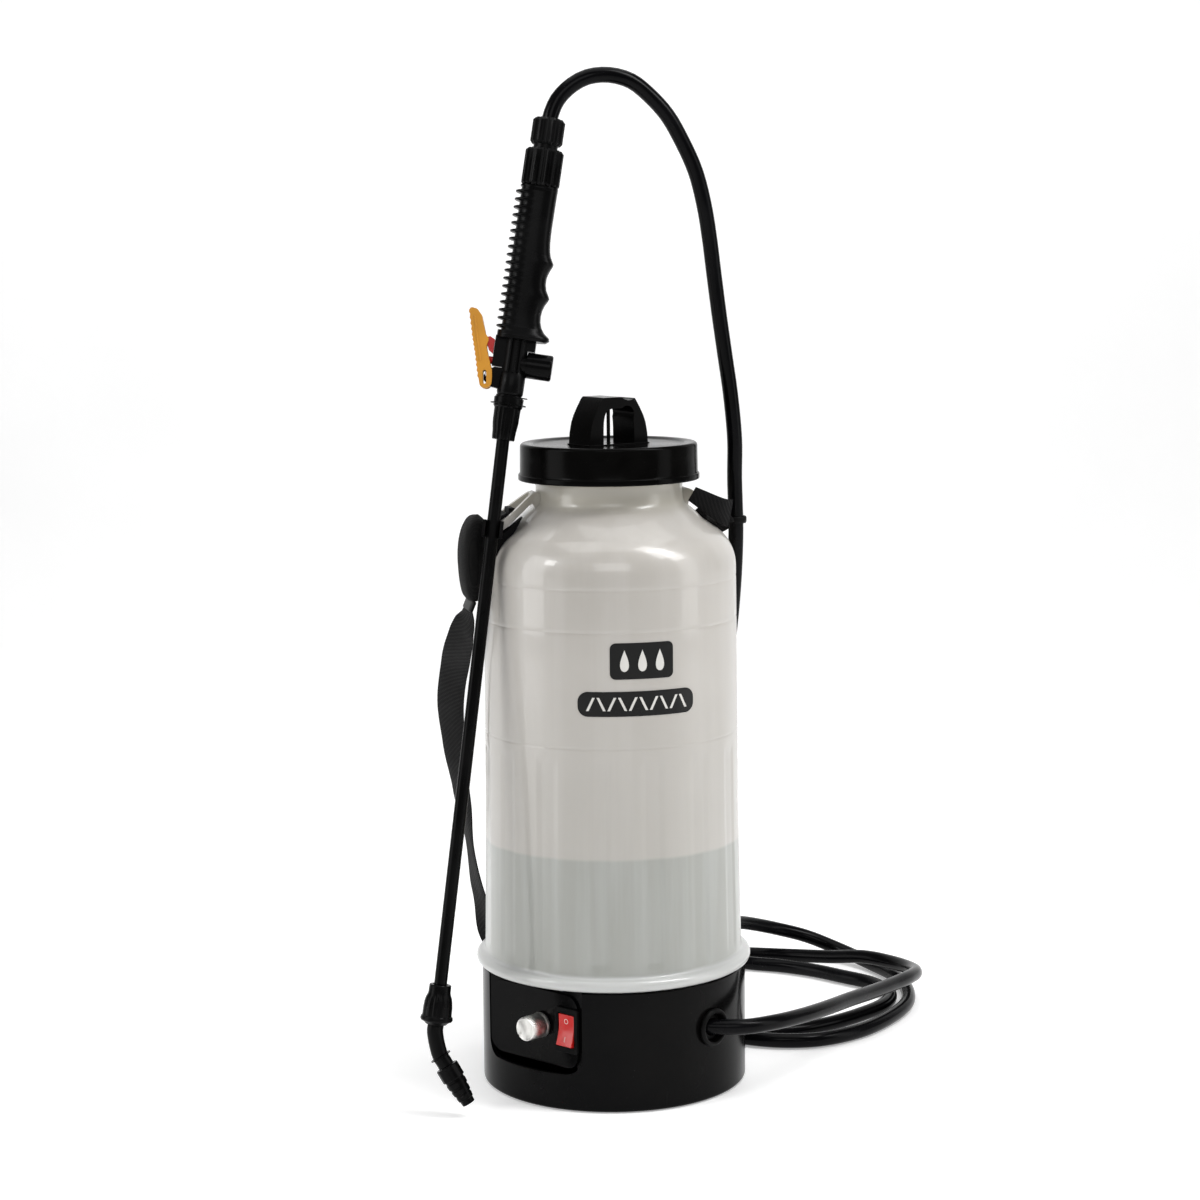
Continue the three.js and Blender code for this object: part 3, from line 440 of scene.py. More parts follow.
def milky():
    """Translucent blow-moulded wall, darker and greener where there is liquid behind it."""
    look = Look("milky", (0.7, 0.68, 0.65), 0.3)
    height = look.node("ShaderNodeSeparateXYZ", {"Vector": look.place}).outputs["Z"]
    streaks = look.noise(9, 4, 0.55, stretch=(6, 6, 0.35))
    clouds = look.noise(7, 3)
    dry = look.mix(look.ranged(clouds, 0.35, 0.65), (0.438, 0.416, 0.384), (0.478, 0.456, 0.425))
    dry = look.mix(look.ranged(streaks, 0.4, 0.65, 0, 0.5), dry, (0.498, 0.479, 0.449))
    low = look.ranged(height, 0.19, 0.33, 1, 0)
    dry = look.mix(look.math("MULTIPLY", low, 0.4), dry, (0.398, 0.388, 0.360))
    neck = look.ranged(height, NECK_LEVEL - 0.004, NECK_LEVEL + 0.006)
    dry = look.mix(neck, dry, (0.423, 0.401, 0.347))
    wet = look.mix(look.ranged(streaks, 0.4, 0.62), (0.324, 0.330, 0.304), (0.363, 0.370, 0.350))
    deep = look.ranged(height, WATER_LEVEL, DEEP_LEVEL)
    wet = look.mix(look.math("MULTIPLY", deep, 0.3), wet, (0.291, 0.300, 0.277))
    ripple = look.math("ADD", height, look.ranged(clouds, 0.3, 0.7, -0.0008, 0.0008))
    below = look.ranged(ripple, WATER_LEVEL + 0.0012, WATER_LEVEL - 0.0018)
    base = look.mix(below, dry, wet)
    rim = look.ranged(height, RIM_LEVEL + 0.0015, RIM_LEVEL - 0.0015)
    base = look.mix(rim, base, (0.499, 0.507, 0.496))
    normal = look.bump(look.noise(26, 3, stretch=(1, 1, 0.5)), 0.0005, 0.10)
    normal = look.bump(look.noise(700, 2), 0.00005, 0.2, under=normal)
    rough = look.ranged(clouds, 0.3, 0.7, 0.30, 0.38)
    return look.set(Base_Color=base, Roughness=rough, Normal=normal, Coat_Weight=0.6,
                    Coat_Roughness=0.03, Subsurface_Weight=0.25, Subsurface_Scale=0.006,
                    Subsurface_Radius=(1.0, 0.95, 0.85))


def hose_black():
    look = Look("hose_black", (0.0014, 0.0014, 0.0017), 0.2, specular=0.06)
    cloud = look.noise(18, 4)
    base = look.mix(look.ranged(cloud, 0.35, 0.65), (0.001, 0.001, 0.0013),
                    (0.0024, 0.0024, 0.003))
    rough = look.ranged(cloud, 0.3, 0.7, 0.17, 0.3)
    normal = look.bump(look.noise(420, 2), 0.00006, 0.3)
    return look.set(Base_Color=base, Roughness=rough, Normal=normal, Coat_Weight=0.05,
                    Coat_Roughness=0.1)


def metal(name, colour, roughness):
    """Metal with fine tool marks."""
    look = Look(name, colour, roughness, 1.0)
    marks = look.noise(3, 4, 0.7, stretch=(300, 300, 12))
    dark, light = (tuple(min(1, c * share) for c in colour) for share in (0.86, 1.08))
    base = look.mix(look.ranged(marks, 0.3, 0.7), dark, light)
    rough = look.ranged(marks, 0.3, 0.7, roughness * 0.75, roughness * 1.3)
    normal = look.bump(marks, 0.00004, 0.35)
    return look.set(Base_Color=base, Roughness=rough, Normal=normal)


def knob_metal():
    """Turned aluminium: fine rings about the knob's own axis."""
    look = Look("knob_aluminium", (0.80, 0.79, 0.76), 0.22, 1.0)
    inputs = {"Vector": look.place, "Rotation": PANEL.to_euler(),
              "Location": PANEL @ Vector((KNOB_S, CONTROL_Z, 0)) * MM}
    local = look.node("ShaderNodeMapping", inputs, vector_type="TEXTURE")
    rings = look.wave(900, 0.4, local.outputs["Vector"], wave_type="RINGS", rings_direction="Z")
    marks = look.noise(260, 3)
    base = look.mix(look.ranged(marks, 0.3, 0.7), (0.74, 0.73, 0.70), (0.86, 0.85, 0.82))
    normal = look.bump(rings, 0.00003, 0.15)
    rough = look.ranged(marks, 0.3, 0.7, 0.29, 0.36)
    return look.set(Base_Color=base, Roughness=rough, Normal=normal)


def webbing_cloth():
    """Flat woven webbing: ribs across and a twill along, by the strip's own lengths."""
    look = Look("webbing_cloth", (0.006, 0.006, 0.006), 0.8, specular=0.12)
    strip = look.node("ShaderNodeUVMap", uv_map="strip").outputs["UV"]
    ribs = look.wave(0.28, 0.6, strip, bands_direction="Y")
    twill = look.wave(0.17, 0.6, strip, bands_direction="DIAGONAL")
    weave = look.math("MULTIPLY", ribs, twill)
    wear = look.noise(30, 4)
    base = look.mix(look.ranged(weave, 0, 0.8), (0.0022, 0.0022, 0.0025), (0.0085, 0.0082, 0.008))
    base = look.mix(look.ranged(wear, 0.5, 0.75, 0, 0.4), base, (0.014, 0.013, 0.012))
    height = look.math("ADD", weave, look.math("MULTIPLY", look.noise(1400, 2), 0.35))
    rough = look.ranged(wear, 0.3, 0.7, 0.72, 0.9)
    return look.set(Base_Color=base, Roughness=rough, Normal=look.bump(height, 0.0003, 0.6),
                    Sheen_Weight=0.05, Sheen_Roughness=0.5)


def pad_cloth():
    """Plain-woven nylon over foam, by place in space because the cloth has no strip lengths."""
    look = Look("pad_cloth", (0.005, 0.005, 0.005), 0.85, specular=0.08)
    weave = look.math("MULTIPLY", *[look.wave(330, 0.8, look.place, bands_direction=way)
                                    for way in "YZ"])
    wear = look.noise(26, 5)
    base = look.mix(look.ranged(weave, 0, 0.8), (0.0018, 0.0018, 0.002), (0.006, 0.0058, 0.0056))
    base = look.mix(look.ranged(wear, 0.5, 0.75, 0, 0.35), base, (0.013, 0.012, 0.011))
    normal = look.bump(look.noise(60, 3), 0.0012, 0.25)
    normal = look.bump(weave, 0.00025, 0.5, under=normal)
    rough = look.ranged(wear, 0.3, 0.7, 0.78, 0.92)
    return look.set(Base_Color=base, Roughness=rough, Normal=normal, Sheen_Weight=0.06,
                    Sheen_Roughness=0.5)


GLOSS = gloss_black()
MILKY = milky()
HOSE = hose_black()
KNOB = knob_metal()
WEB = webbing_cloth()
PAD = pad_cloth()
STEEL = metal("zinc_steel", (0.62, 0.62, 0.63), 0.3)
BRASS = metal("turned_brass", (0.72, 0.55, 0.27), 0.3)
SATIN = moulded("satin_black", (0.0022, 0.0022, 0.0022), 0.34, scuffs=0.012, specular=0.06)
CAP_BLACK = moulded("cap_black", (0.0012, 0.0011, 0.0010), 0.18, 600, scuffs=0.006, specular=0.035)
GRIP_BLACK = moulded("grip_black", (0.0018, 0.0018, 0.0019), 0.28, 500, scuffs=0.012, specular=0.07)
RUBBER = moulded("rubber_black", (0.0025, 0.0025, 0.0025), 0.42, 500, scuffs=0.02, specular=0.08)
YELLOW = moulded("lever_yellow", (0.5, 0.215, 0.008), 0.42, 700, 0.1, 0.07, 0.05)
RED = moulded("signal_red", (0.50, 0.010, 0.008), 0.25, 700, 0.05, 0.08, 0.02, coat=0.3)
MARK = moulded("mark_white", (0.62, 0.45, 0.42), 0.4, patchy=0.05, scuffs=0.02)
GREEN = moulded("board_green", (0.02, 0.16, 0.06), 0.4, patchy=0.1)
GREY = moulded("grey_plastic", (0.20, 0.20, 0.20), 0.45, patchy=0.1)
INK = moulded("label_black", (0.005, 0.005, 0.005), 0.28, 300, patchy=0.1, scuffs=0.01,
              specular=0.25)
KEYLINE = moulded("label_pale", (0.62, 0.61, 0.58), 0.35, 300, patchy=0.04, scuffs=0.02)


# -------- CAD nodes that stay
STAYING = (
    (SATIN, "base_plate pump_head tank_outlet outlet_nut outlet_coupling charge_socket"),
    (SATIN, "switch_housing lance_clip"),
    (STEEL, "base_screw_1 base_screw_2 base_screw_3 base_screw_4 knob_shaft pump_motor"),
    (STEEL, "valve_spring trigger_pin"),
    (GREY, "potentiometer battery tank_strainer"),
    (RUBBER, "suction_hose pressure_hose cap_seal nozzle_seal"),
    (BRASS, "hose_tail nozzle_core"),
    (RED, "valve_plunger trigger_lock"),
    (GREEN, "control_board"),
    (GLOSS, "control_panel"),
)


def dress(node, look, split=32):
    """Gives a CAD node its material, and smooth shading up to its real edges."""
    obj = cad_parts[node]
    obj.data.materials.clear()
    obj.data.materials.append(look)
    if "custom_normal" in obj.data.attributes:
        obj.data.attributes.remove(obj.data.attributes["custom_normal"])
    smooth_faces(obj.data)
    weld = obj.modifiers.new("weld", "WELD")
    weld.merge_threshold = 0.02 * MM
    edges = obj.modifiers.new("edges", "EDGE_SPLIT")
    edges.split_angle = math.radians(split)


for node_look, node_names in STAYING:
    for node_name in node_names.split():
        dress(node_name, node_look)

# -------- hose
HOSE_RADIUS = 0.0055
HOSE_ROUTE = [
    (46, -61, 53), (68, -66, 53), (91, -66.5, 53), (113, -53, 52), (134, -28, 49), (155, 5, 45),
    (175, 43, 40), (194, 78, 35), (213, 112, 31), (230, 143, 28), (239, 172, 24), (237, 200, 20),
    (224, 226, 18), (205, 245, 17), (180, 264, 12), (150, 284, 8), (116, 298, 6), (80, 304, 6),
    (42, 298, 6), (6, 280, 6), (-26, 252, 6), (-46, 218, 6), (-50, 182, 6), (-36, 152, 6),
    (-6, 133, 6), (30, 119, 6), (66, 98, 6), (98, 79, 6), (130, 77, 6), (160, 92, 6),
    (190, 118, 6), (212, 146, 6), (219, 176, 6), (207, 206, 6), (186, 226, 6), (164, 245, 6),
    (140, 259, 6), (113, 269, 6), (78, 281, 9), (42, 289, 18), (10, 288, 19), (-26, 274, 15),
    (-55, 248, 8), (-73, 214, 6), (-76, 178, 6), (-62, 147, 6), (-34, 124, 6), (2, 109, 6),
    (40, 99, 6), (72, 80, 6), (98, 62, 6), (124, 53, 6), (153, 55, 6), (186, 76, 6),
    (213, 112, 6), (230, 150, 6), (234, 190, 6), (228, 229, 6), (213, 264, 6), (190, 290, 11),
    (163, 300, 20), (137, 296, 28), (114, 279, 37), (96, 254, 46), (84, 226, 60), (74, 194, 82),
    (66, 161, 113), (65, 130, 155), (70, 106, 200), (78, 84, 245), (85, 66, 290), (90, 54, 340),
    (92, 46, 388), (91, 42, 430), (91, 39, 457), (88, 36, 490), (84, 33, 518), (80, 30, 546),
    (76, 27, 577), (73, 24, 601), (69, 20, 625), (63, 17, 648), (54, 13, 668), (43, 9, 687),
    (30, 5, 701), (18, 0, 710), (3, -4, 714), (-12, -7.4, 712.6), (-23, -9, 707),
    (-33, -10.5, 697), (-38.4, -12.1, 684), (-40.2, -13.5, 673),
]


def add_hose():
    """One hose: out of the base, round the floor, up past the tie and over to the handle."""
    path = smooth_path(HOSE_ROUTE, 5)
    hose = mesh_object("spray_hose", tube(path, HOSE_RADIUS / MM, 20))
    hose.data.materials.append(HOSE)
    shade(hose, 60)
    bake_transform(hose)
    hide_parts("hose", "hose_end")


add_hose()

# -------- base
BASE_R, BASE_TOP = 95, 85.5
PANEL_DEPTH = 83.5
PLATE_FRONT = PANEL_DEPTH + 1.8


def add_base():
    skin = turned([
        (0, 0.6), (91.6, 0.6), (93.4, 1.0), *arc(92.4, 3.2, 2.6, -62, 0, 5), (BASE_R, 20),
        (BASE_R, 40), (BASE_R, 60), (BASE_R, 84.2), *arc(94.2, 84.7, 0.8, 0, 90, 4), (0, BASE_TOP),
    ], 180)
    facet = extruded(rounded_rectangle(-44, 44, 26.5, 120, 12, 10), PANEL_DEPTH, 110)
    window = box(SWITCH_S - 9, SWITCH_S + 9, CONTROL_Z - 14, CONTROL_Z + 14, 78, 100)
    outlet = moved(turned([(0, -14), (11, -14), (11, 12), (0, 12)], 48), OUTLET)
    socket = moved(turned([(0, 84), (6.4, 84), (6.4, 100), (0, 100)], 32),
                   Matrix.Translation((0, 0, 30)) @ turn_about("X", -90))
    room = turned([(0, -1), (92.2, -1), (92.2, 40), (79, 46), (79, 82.9), (0, 82.9)], 96)
    piece("base_shell", skin, GLOSS, "tank", ["base_housing"], edge=0.7, sharp=40,
          cuts=[moved(facet, PANEL), room, moved(window, PANEL), outlet, socket])


def add_controls():
    def splines(row, turn):
        return 0.16 * math.cos(math.radians(turn) * 40) if 4 <= row <= 6 else 0

    knob = turned([
        (0, 103.2), (6.9, 103.2), (7.4, 103.5), (8.1, 103.3), (8.5, 102.4), (8.5, 96), (8.5, 90),
        (8.6, 89.4), (8.9, 88.9), (8.9, 87.2), (8.7, 87), (3.3, 87), (3.3, 98), (0, 98),
    ], 160, splines)
    pointer = moved(box(-0.5, 0.5, 4.6, 9, 102.4, 105), turn_about("Z", 130))
    piece("speed_knob_turned", knob, KNOB, "knob", ["speed_knob"], cuts=[pointer], sharp=40,
          at=PANEL @ Matrix.Translation((KNOB_S, CONTROL_Z, 0)))
    place = Matrix.Translation((SWITCH_S, CONTROL_Z, PLATE_FRONT + 1))
    rocker_at = PANEL @ place @ turn_about("X", -8)
    top = [(11 - 22 * i / 20, 1 + 1.6 * (abs(10 - i) / 10) ** 1.5) for i in range(21)]
    side = [*top, (-11.2, -1.5), (-3, -7), (3, -7), (11.2, -1.5)]
    rocker = lofted([[(x, y, z) for y, z in side] for x in (-7.1, 7.1)])
    piece("rocker_key", rocker, RED, "rocker", ["switch_rocker"], at=rocker_at, edge=0.5)
    ring = moved(turned([(1.35, 0), (1.85, 0), (1.85, 0.12), (1.35, 0.12)], 32),
                 Matrix.Translation((0, 6.3, 1.62)) @ turn_about("X", 9))
    bar = moved(box(-0.28, 0.28, -1.9, 1.9, 0, 0.12),
                Matrix.Translation((0, -6.3, 1.62)) @ turn_about("X", -9))
    piece("rocker_marks", together(ring, bar), MARK, "rocker", at=rocker_at)


def add_grommet():
    lip = turned([
        (9.9, -5.8), (12.8, -5.8), (12.8, -4.2), (10.6, -4), (10.6, 0.7), (12.9, 0.7),
        *arc(11.5, 1.9, 1.9, -35, 130, 12), (9.7, 1.8), (9.5, 0), (9.5, -3),
    ], 72)
    sleeve = turned([(6.2, -6), (9.4, -6), (9.4, -1.5), (8.7, -0.6), (6.4, -0.2), (6.2, -1)], 72)
    piece("outlet_grommet", together(lip, sleeve), RUBBER, "tank", ["hose_grommet"], at=OUTLET)


add_base()
add_controls()
add_grommet()

# -------- tank
BODY_R, SHOULDER_Z, SHOULDER_R = 89.5, 372, 32
TANK_BOTTOM, NECK_R, RIM_TOP = 86.2, 52, 453
FLUTE_TOP, FLUTE_FIRST, FLUTE_STEP = 250, -54, 24
MOULD_LINES = (365, 336, 256)


def wall_radius(z):
    return float(np.interp(z, [96, 105, 202, 300, 372], [92.6, 92.3, 90.6, 90, BODY_R]))


def add_bottle():
    near_lines = [z + d for z in MOULD_LINES for d in (-1.2, -0.5, 0.5, 1.2)]
    wall = [(wall_radius(z), z) for z in sorted({*np.linspace(98, 372, 92).round(2), *near_lines})]
    foot = [(9.1, TANK_BOTTOM), (94.6, TANK_BOTTOM), *arc(94.6, 90.7, 4.2, -70, 88, 12),
            (93.2, 95.6), (92.7, 96.6)]
    centre = BODY_R - SHOULDER_R
    above = [*arc(centre, SHOULDER_Z, SHOULDER_R, 3, 54, 14), (66, 405), (60.5, 410.8),
             (56.4, 414.2), (53.6, 417), (52.3, 420), (NECK_R, 423), (NECK_R, 431), (52.6, 432.4),
             (55.3, 433.4), (55.3, RIM_TOP - 0.5), (54.8, RIM_TOP)]
    inside = [(50.3, RIM_TOP), (50.3, 433), (49.5, 430), (49.5, 417.5), (54.5, 412.6),
              *arc(centre, SHOULDER_Z, SHOULDER_R - 2.5, 54, 0, 8), (87.6, 202), (89.3, 104),
              (85, 89.4), (9.1, 89.4)]
    profile = [*foot, *wall, *above, *inside]
    first, last = len(foot), len(foot) + len(wall)

    def flutes(row, turn):
        if not first <= row < last:
            return 0
        z = profile[row][1]
        off = (turn - FLUTE_FIRST + FLUTE_STEP / 2) % FLUTE_STEP - FLUTE_STEP / 2
        across = np.clip((5.2 - abs(off)) / 1.3, 0, 1)
        along = np.clip((FLUTE_TOP - z) / 7, 0, 1) * np.clip((z - 100) / 5, 0, 1)
        change = -0.75 * across * across * (3 - 2 * across) * along * along * (3 - 2 * along)
        for line in MOULD_LINES:
            change -= 0.3 * max(0, 1 - abs(z - line) / 1.1)
        return float(change)

    helix = [Vector((55.2 * math.cos(a), 55.2 * math.sin(a), 438 + 6 * a / (2 * math.pi)))
             for a in np.linspace(0, 3 * math.pi, 100)]
    body = together(turned(profile, 300, flutes), tube(helix, 1.5, 8))
    piece("tank_bottle", body, MILKY, "tank", ["bottle"], sharp=50)


LUG_SIDE = [
    (50.5, 417.5), (51, 425.2), (54, 426.3), (57.4, 425.4), (60.5, 423.2), (80.5, 407.4),
    (82.3, 405.2), (82.2, 402.8), (80, 401.6), (77.4, 403.2), (59.4, 417.6), (57.2, 418.5),
    (55.8, 416.4), (55.4, 413.4),
]


def add_lug(name, turn):
    gap = [(57.4, -5), (73.5, -13), (77.4, -13), (77.4, 13), (73.5, 13), (57.4, 5)]
    cuts = [extruded(gap, 380, 440)]
    for s in (-1, 1):
        beside = [(40, s * 9), (57.4, s * 9), (73.5, s * 17), (90, s * 17), (90, s * 20),
                  (40, s * 20)]
        cuts.append(extruded(beside, 380, 440))
    piece(name, sideways(LUG_SIDE, -17, 17), MILKY, "tank", at=turn_about("Z", turn - 90),
          cuts=cuts, edge=0.9, sharp=40)


def on_wall(along, z, proud):
    """A point on the tank's wall: along it from straight ahead, at a height, and proud of it."""
    radius = wall_radius(z)
    turn = along / radius
    return Vector(((radius + proud) * math.sin(turn), -(radius + proud) * math.cos(turn), z))


def finer(outline, longest=1.5):
    """The outline again with more points, so that a long side can follow a curved wall."""
    points = []
    for (x0, y0), (x1, y1) in zip(outline, outline[1:] + outline[:1]):
        count = max(1, math.ceil(math.hypot(x1 - x0, y1 - y0) / longest))
        points += [(x0 + (x1 - x0) * i / count, y0 + (y1 - y0) * i / count) for i in range(count)]
    return points


def wall_patch(outline, middle, proud, rings=8):
    """A thin sticker on the wall, from an outline round a middle, both as (along, height)."""
    outline = finer(outline)
    points, faces = [on_wall(*middle, proud)], []
    count = len(outline)
    for k in range(1, rings + 1):
        for x, z in outline:
            points.append(on_wall(middle[0] + x * k / rings, middle[1] + z * k / rings, proud))
    for x, z in outline:
        points.append(on_wall(middle[0] + x, middle[1] + z, -0.15))
    for i in range(count):
        j = (i + 1) % count
        faces.append([0, 1 + i, 1 + j])
        for k in range(rings):
            a, b = 1 + k * count, 1 + (k + 1) * count
            faces.append([a + i, b + i, b + j, a + j])
    return points, faces


def drop(width, height):
    """The outline of a plain drop of water."""
    points = []
    for i in range(40):
        a = 2 * math.pi * i / 40
        taper = (1 - math.cos(a)) / 2
        points.append((width / 2 * math.sin(a) * taper ** 0.7, height / 2 * math.cos(a)))
    return points


def add_labels():
    """Two plain stickers with no words: a badge with three drops, and a strip of bars under it."""
    (badge_s, badge_z), (strip_s, strip_z) = (21.5, 317), (18.5, 287.5)
    badge = wall_patch(rounded_rectangle(-22.5, 22.5, -12.5, 12.5, 4), (badge_s, badge_z), 0.2)
    strip = wall_patch(rounded_rectangle(-42, 42, -8.6, 8.6, 7), (strip_s, strip_z), 0.2)
    marks = [wall_patch(drop(8.5, 15), (badge_s + x, badge_z + 0.3), 0.35, 3)
             for x in (-12.5, 0, 12.5)]
    for i in range(10):
        slant = 2.2 if i % 2 else -2.2
        bar = [(slant - 0.9, -4.6), (slant + 0.9, -4.6), (0.9 - slant, 4.6), (-0.9 - slant, 4.6)]
        marks.append(wall_patch(bar, (strip_s - 33 + 7.33 * i, strip_z), 0.35, 3))
    piece("badge", badge, INK, "tank", sharp=60)
    piece("strip", strip, INK, "tank", sharp=60)
    piece("label_marks", together(*marks), KEYLINE, "tank", sharp=60)


add_bottle()
for lug_side, lug_turn in LUG_TURNS.items():
    add_lug(f"lug_{lug_side}", lug_turn)
add_labels()

# -------- cap
CAP_TOP = 458.4
HANDLE_TURN = 35


def add_cap():
    shell = turned([
        (0, CAP_TOP), (51, CAP_TOP), (53, 458.7), (54.4, 459.5), (59.2, 459.7),
        *arc(60.2, 457.2, 2.5, 88, 4, 8), (62.75, 450), (62.9, 439.4), (63.2, 438.6),
        *arc(63.0, 437.1, 1.1, 70, 0, 4), (64.1, 435), *arc(63.3, 434.5, 0.8, 0, -90, 3),
        (59.8, 433.7), (58.3, 434.6), (58.2, 455.6), (0, 455.6),
    ], 180)
    right = [(25.4, -1), (25, 0), (24.4, 8), (23, 15), (21, 20.2), (18, 25.8), (15.4, 30),
             (14, 32.2), (12.6, 33.4)]
    outer = [(x, CAP_TOP + z) for x, z in right] + [(-x, CAP_TOP + z) for x, z in right[::-1]]
    vault = [(13.2 * signed_power(math.cos(a), 0.4), CAP_TOP + 2 + 23.5 * math.sin(a) ** 0.5)
             for a in np.linspace(0, math.pi, 25)]
    hole = [(13.2, CAP_TOP - 4), *vault, (-13.2, CAP_TOP - 4)]
    trough = arc(9, 499.5, 10.2, 0, 345, 30)
    scallop = arc(7, 479.3, 6.2, 0, 345, 24)
    turn = turn_about("Z", HANDLE_TURN)
    piece("cap_shell", shell, CAP_BLACK, "cap", ["cap"], sharp=32)
    piece("cap_arch", sideways(outer, -13, 13), CAP_BLACK, "cap", at=turn, edge=1.3, sharp=40,
          cuts=[sideways(outline, -20, 20) for outline in (hole, trough, scallop)])
    foot = box(-25.8, 25.8, -14, 14, CAP_TOP - 1, CAP_TOP + 0.8)
    piece("cap_post", box(-1, 1, -1.1, 1.1, CAP_TOP - 1, 487), CAP_BLACK, "cap", at=turn,
          joins=[foot], edge=0.4)


add_cap()

# -------- strap
UPRIGHT = (0, 0, 1)
LEFT_ACROSS = tuple(away(LUG_TURNS["left"] + 90))


def left_place(out, z):
    """A place below the left lug: out from the axis, and up."""
    here = away(LUG_TURNS["left"]) * out
    return here.x, here.y, z


def band(stations, width, thickness, step=4, columns=8):
    """A flat strip through stations of (middle, direction across): its shape and its lengths."""
    middle = smooth_path([at for at, _ in stations], step)
    counts = []
    for (a, _), (b, _) in zip(stations, stations[1:]):
        counts.append(max(2, round((Vector(b) - Vector(a)).length / step)))
    across = [Vector(stations[0][1])]
    for (_, a), (_, b), count in zip(stations, stations[1:], counts):
        for i in range(1, count + 1):
            t = i / count
            across.append(Vector(a).lerp(Vector(b), t * t * (3 - 2 * t)))
    rings, lengths, run = [], [], 0
    for i, (point, side, way) in enumerate(zip(middle, across, tangents(middle))):
        if i:
            run += (point - middle[i - 1]).length
        side = (side - way * side.dot(way)).normalized()
        normal = way.cross(side)
        section = []
        wide = width[0] + (width[1] - width[0]) * i / len(middle)
        for row, sign in ((range(columns + 1), 1), (range(columns, -1, -1), -1)):
            for k in row:
                u = (k / columns - 0.5) * wide
                edge = abs(2 * k / columns - 1) ** 6
                half = thickness / 2 * (1 - 0.55 * edge)
                section.append(point + side * u + normal * (sign * half))
                lengths.append((u, run))
        rings.append(section)
    return lofted(rings), lengths


def lay_strip(obj, place):
    """The strip lengths that the webbing's look reads. place(vertex's number) gives a pair."""
    layer = obj.data.uv_layers.new(name="strip")
    for loop in obj.data.loops:
        layer.data[loop.index].uv = place(loop.vertex_index)


def add_web(name, stations, stands_for, width=(25, 25)):
    shape, lengths = band(stations, width, 1.9)
    obj = piece(name, shape, WEB, "tank", [stands_for], sharp=60)
    lay_strip(obj, lambda number: lengths[number])


LEFT_ROUTE = [
    (left_place(102.4, 346.4), LEFT_ACROSS), (left_place(104.6, 336), (0.55, -0.83, 0)),
    ((-106.5, -14, 320), (0.66, -0.75, 0)), ((-112, 4, 298), (0.72, -0.7, 0)),
    ((-116, 20, 268), (0.75, -0.66, 0)), ((-114, 30, 236), (0.7, -0.72, 0)),
    ((-110, 38, 200), (0.5, -0.86, 0.1)), ((-105, 46, 160), (0.2, -0.95, 0.3)),
    ((-99, 56, 120), (0.3, -0.9, 0.35)), ((-88, 74, 82), (0.2, -0.6, 0.75)),
    ((-66, 97, 52), (0, -0.2, 0.97)), ((-38, 111, 36), UPRIGHT), ((-20, 116, 33.4), UPRIGHT),
    ((-7, 117, 33), UPRIGHT),
]
RIGHT_ROUTE = [
    ((-7.5, 117, 33), UPRIGHT), ((8, 117, 33.6), UPRIGHT), ((26, 113, 46), (-0.6, 0.05, 0.8)),
    ((38, 107, 80), (-0.95, -0.2, 0.2)), ((42, 103, 140), (-0.95, -0.3, 0)),
    ((44, 102, 220), (-0.93, -0.36, 0)), ((46, 100, 310), (-0.93, -0.36, 0)),
    ((54, 92, 360), (-0.8, -0.5, 0.3)), ((70, 74, 392), (-0.4, -0.4, 0.8)),
    ((83, 56, 403), (-0.1, -0.1, 1)),
]
TAB_ROUTE = [
    ((58.5, -7, 423), UPRIGHT), ((66, -6.5, 418.6), UPRIGHT), ((74, -5.5, 413.8), UPRIGHT),
    ((80.5, -3.5, 410.2), UPRIGHT), ((85.5, 1, 408), UPRIGHT),
]
PAD_ROUTE = [(94.6, 412), (97.2, 402.5), (99, 394), (99.8, 382), (99.4, 368), (99.8, 350)]
FOLD_SIDE = [(65.8, 410.9), (66.8, 413.2), (69.8, 415.8), (74, 416), (74.2, 403.2), (70, 407)]
LOOP_SIDE = [
    (76.0, 399.4), (80.2, 398.9), (84.8, 400.7), (88.4, 401.2), (88.2, 403.2), (85.2, 406.4),
    (82.6, 409.8), (76.2, 413.2), (74.9, 411.8), (74.8, 401),
]
TIE_AT = (91.8, 45.3, 399)
LOOP_SPACE = [(76.8, 402.4), (76.8, 410.4), (80.9, 407.9), (83.2, 405.2), (83, 402.2), (80, 400.9)]


def add_pad():
    """The shoulder pad: foam in cloth, swelled by a cloth simulation."""
    middle = smooth_path([left_place(out, z) for out, z in PAD_ROUTE], 2)
    rings = []
    for i, (point, way) in enumerate(zip(middle, tangents(middle))):
        side = Vector(LEFT_ACROSS)
        side = (side - way * side.dot(way)).normalized()
        normal = way.cross(side)
        plump = max(0.0, 1 - abs(2 * i / (len(middle) - 1) - 1) ** 2.8) ** 0.5
        half_wide = 12 + 7 * plump
        half_thick = 1.4 + 7.4 * plump
        rings.append([
            point + side * (half_wide * signed_power(math.cos(a), 0.7))
            + normal * (half_thick * signed_power(math.sin(a), 0.8))
            for a in np.linspace(0, 2 * math.pi, 36, endpoint=False)
        ])
    pad = piece("shoulder_pad", lofted(rings), PAD, "tank", ["strap_pad"], sharp=80)
    swell(pad)
    smoother = pad.modifiers.new("smooth", "SUBSURF")
    smoother.levels = smoother.render_levels = 1


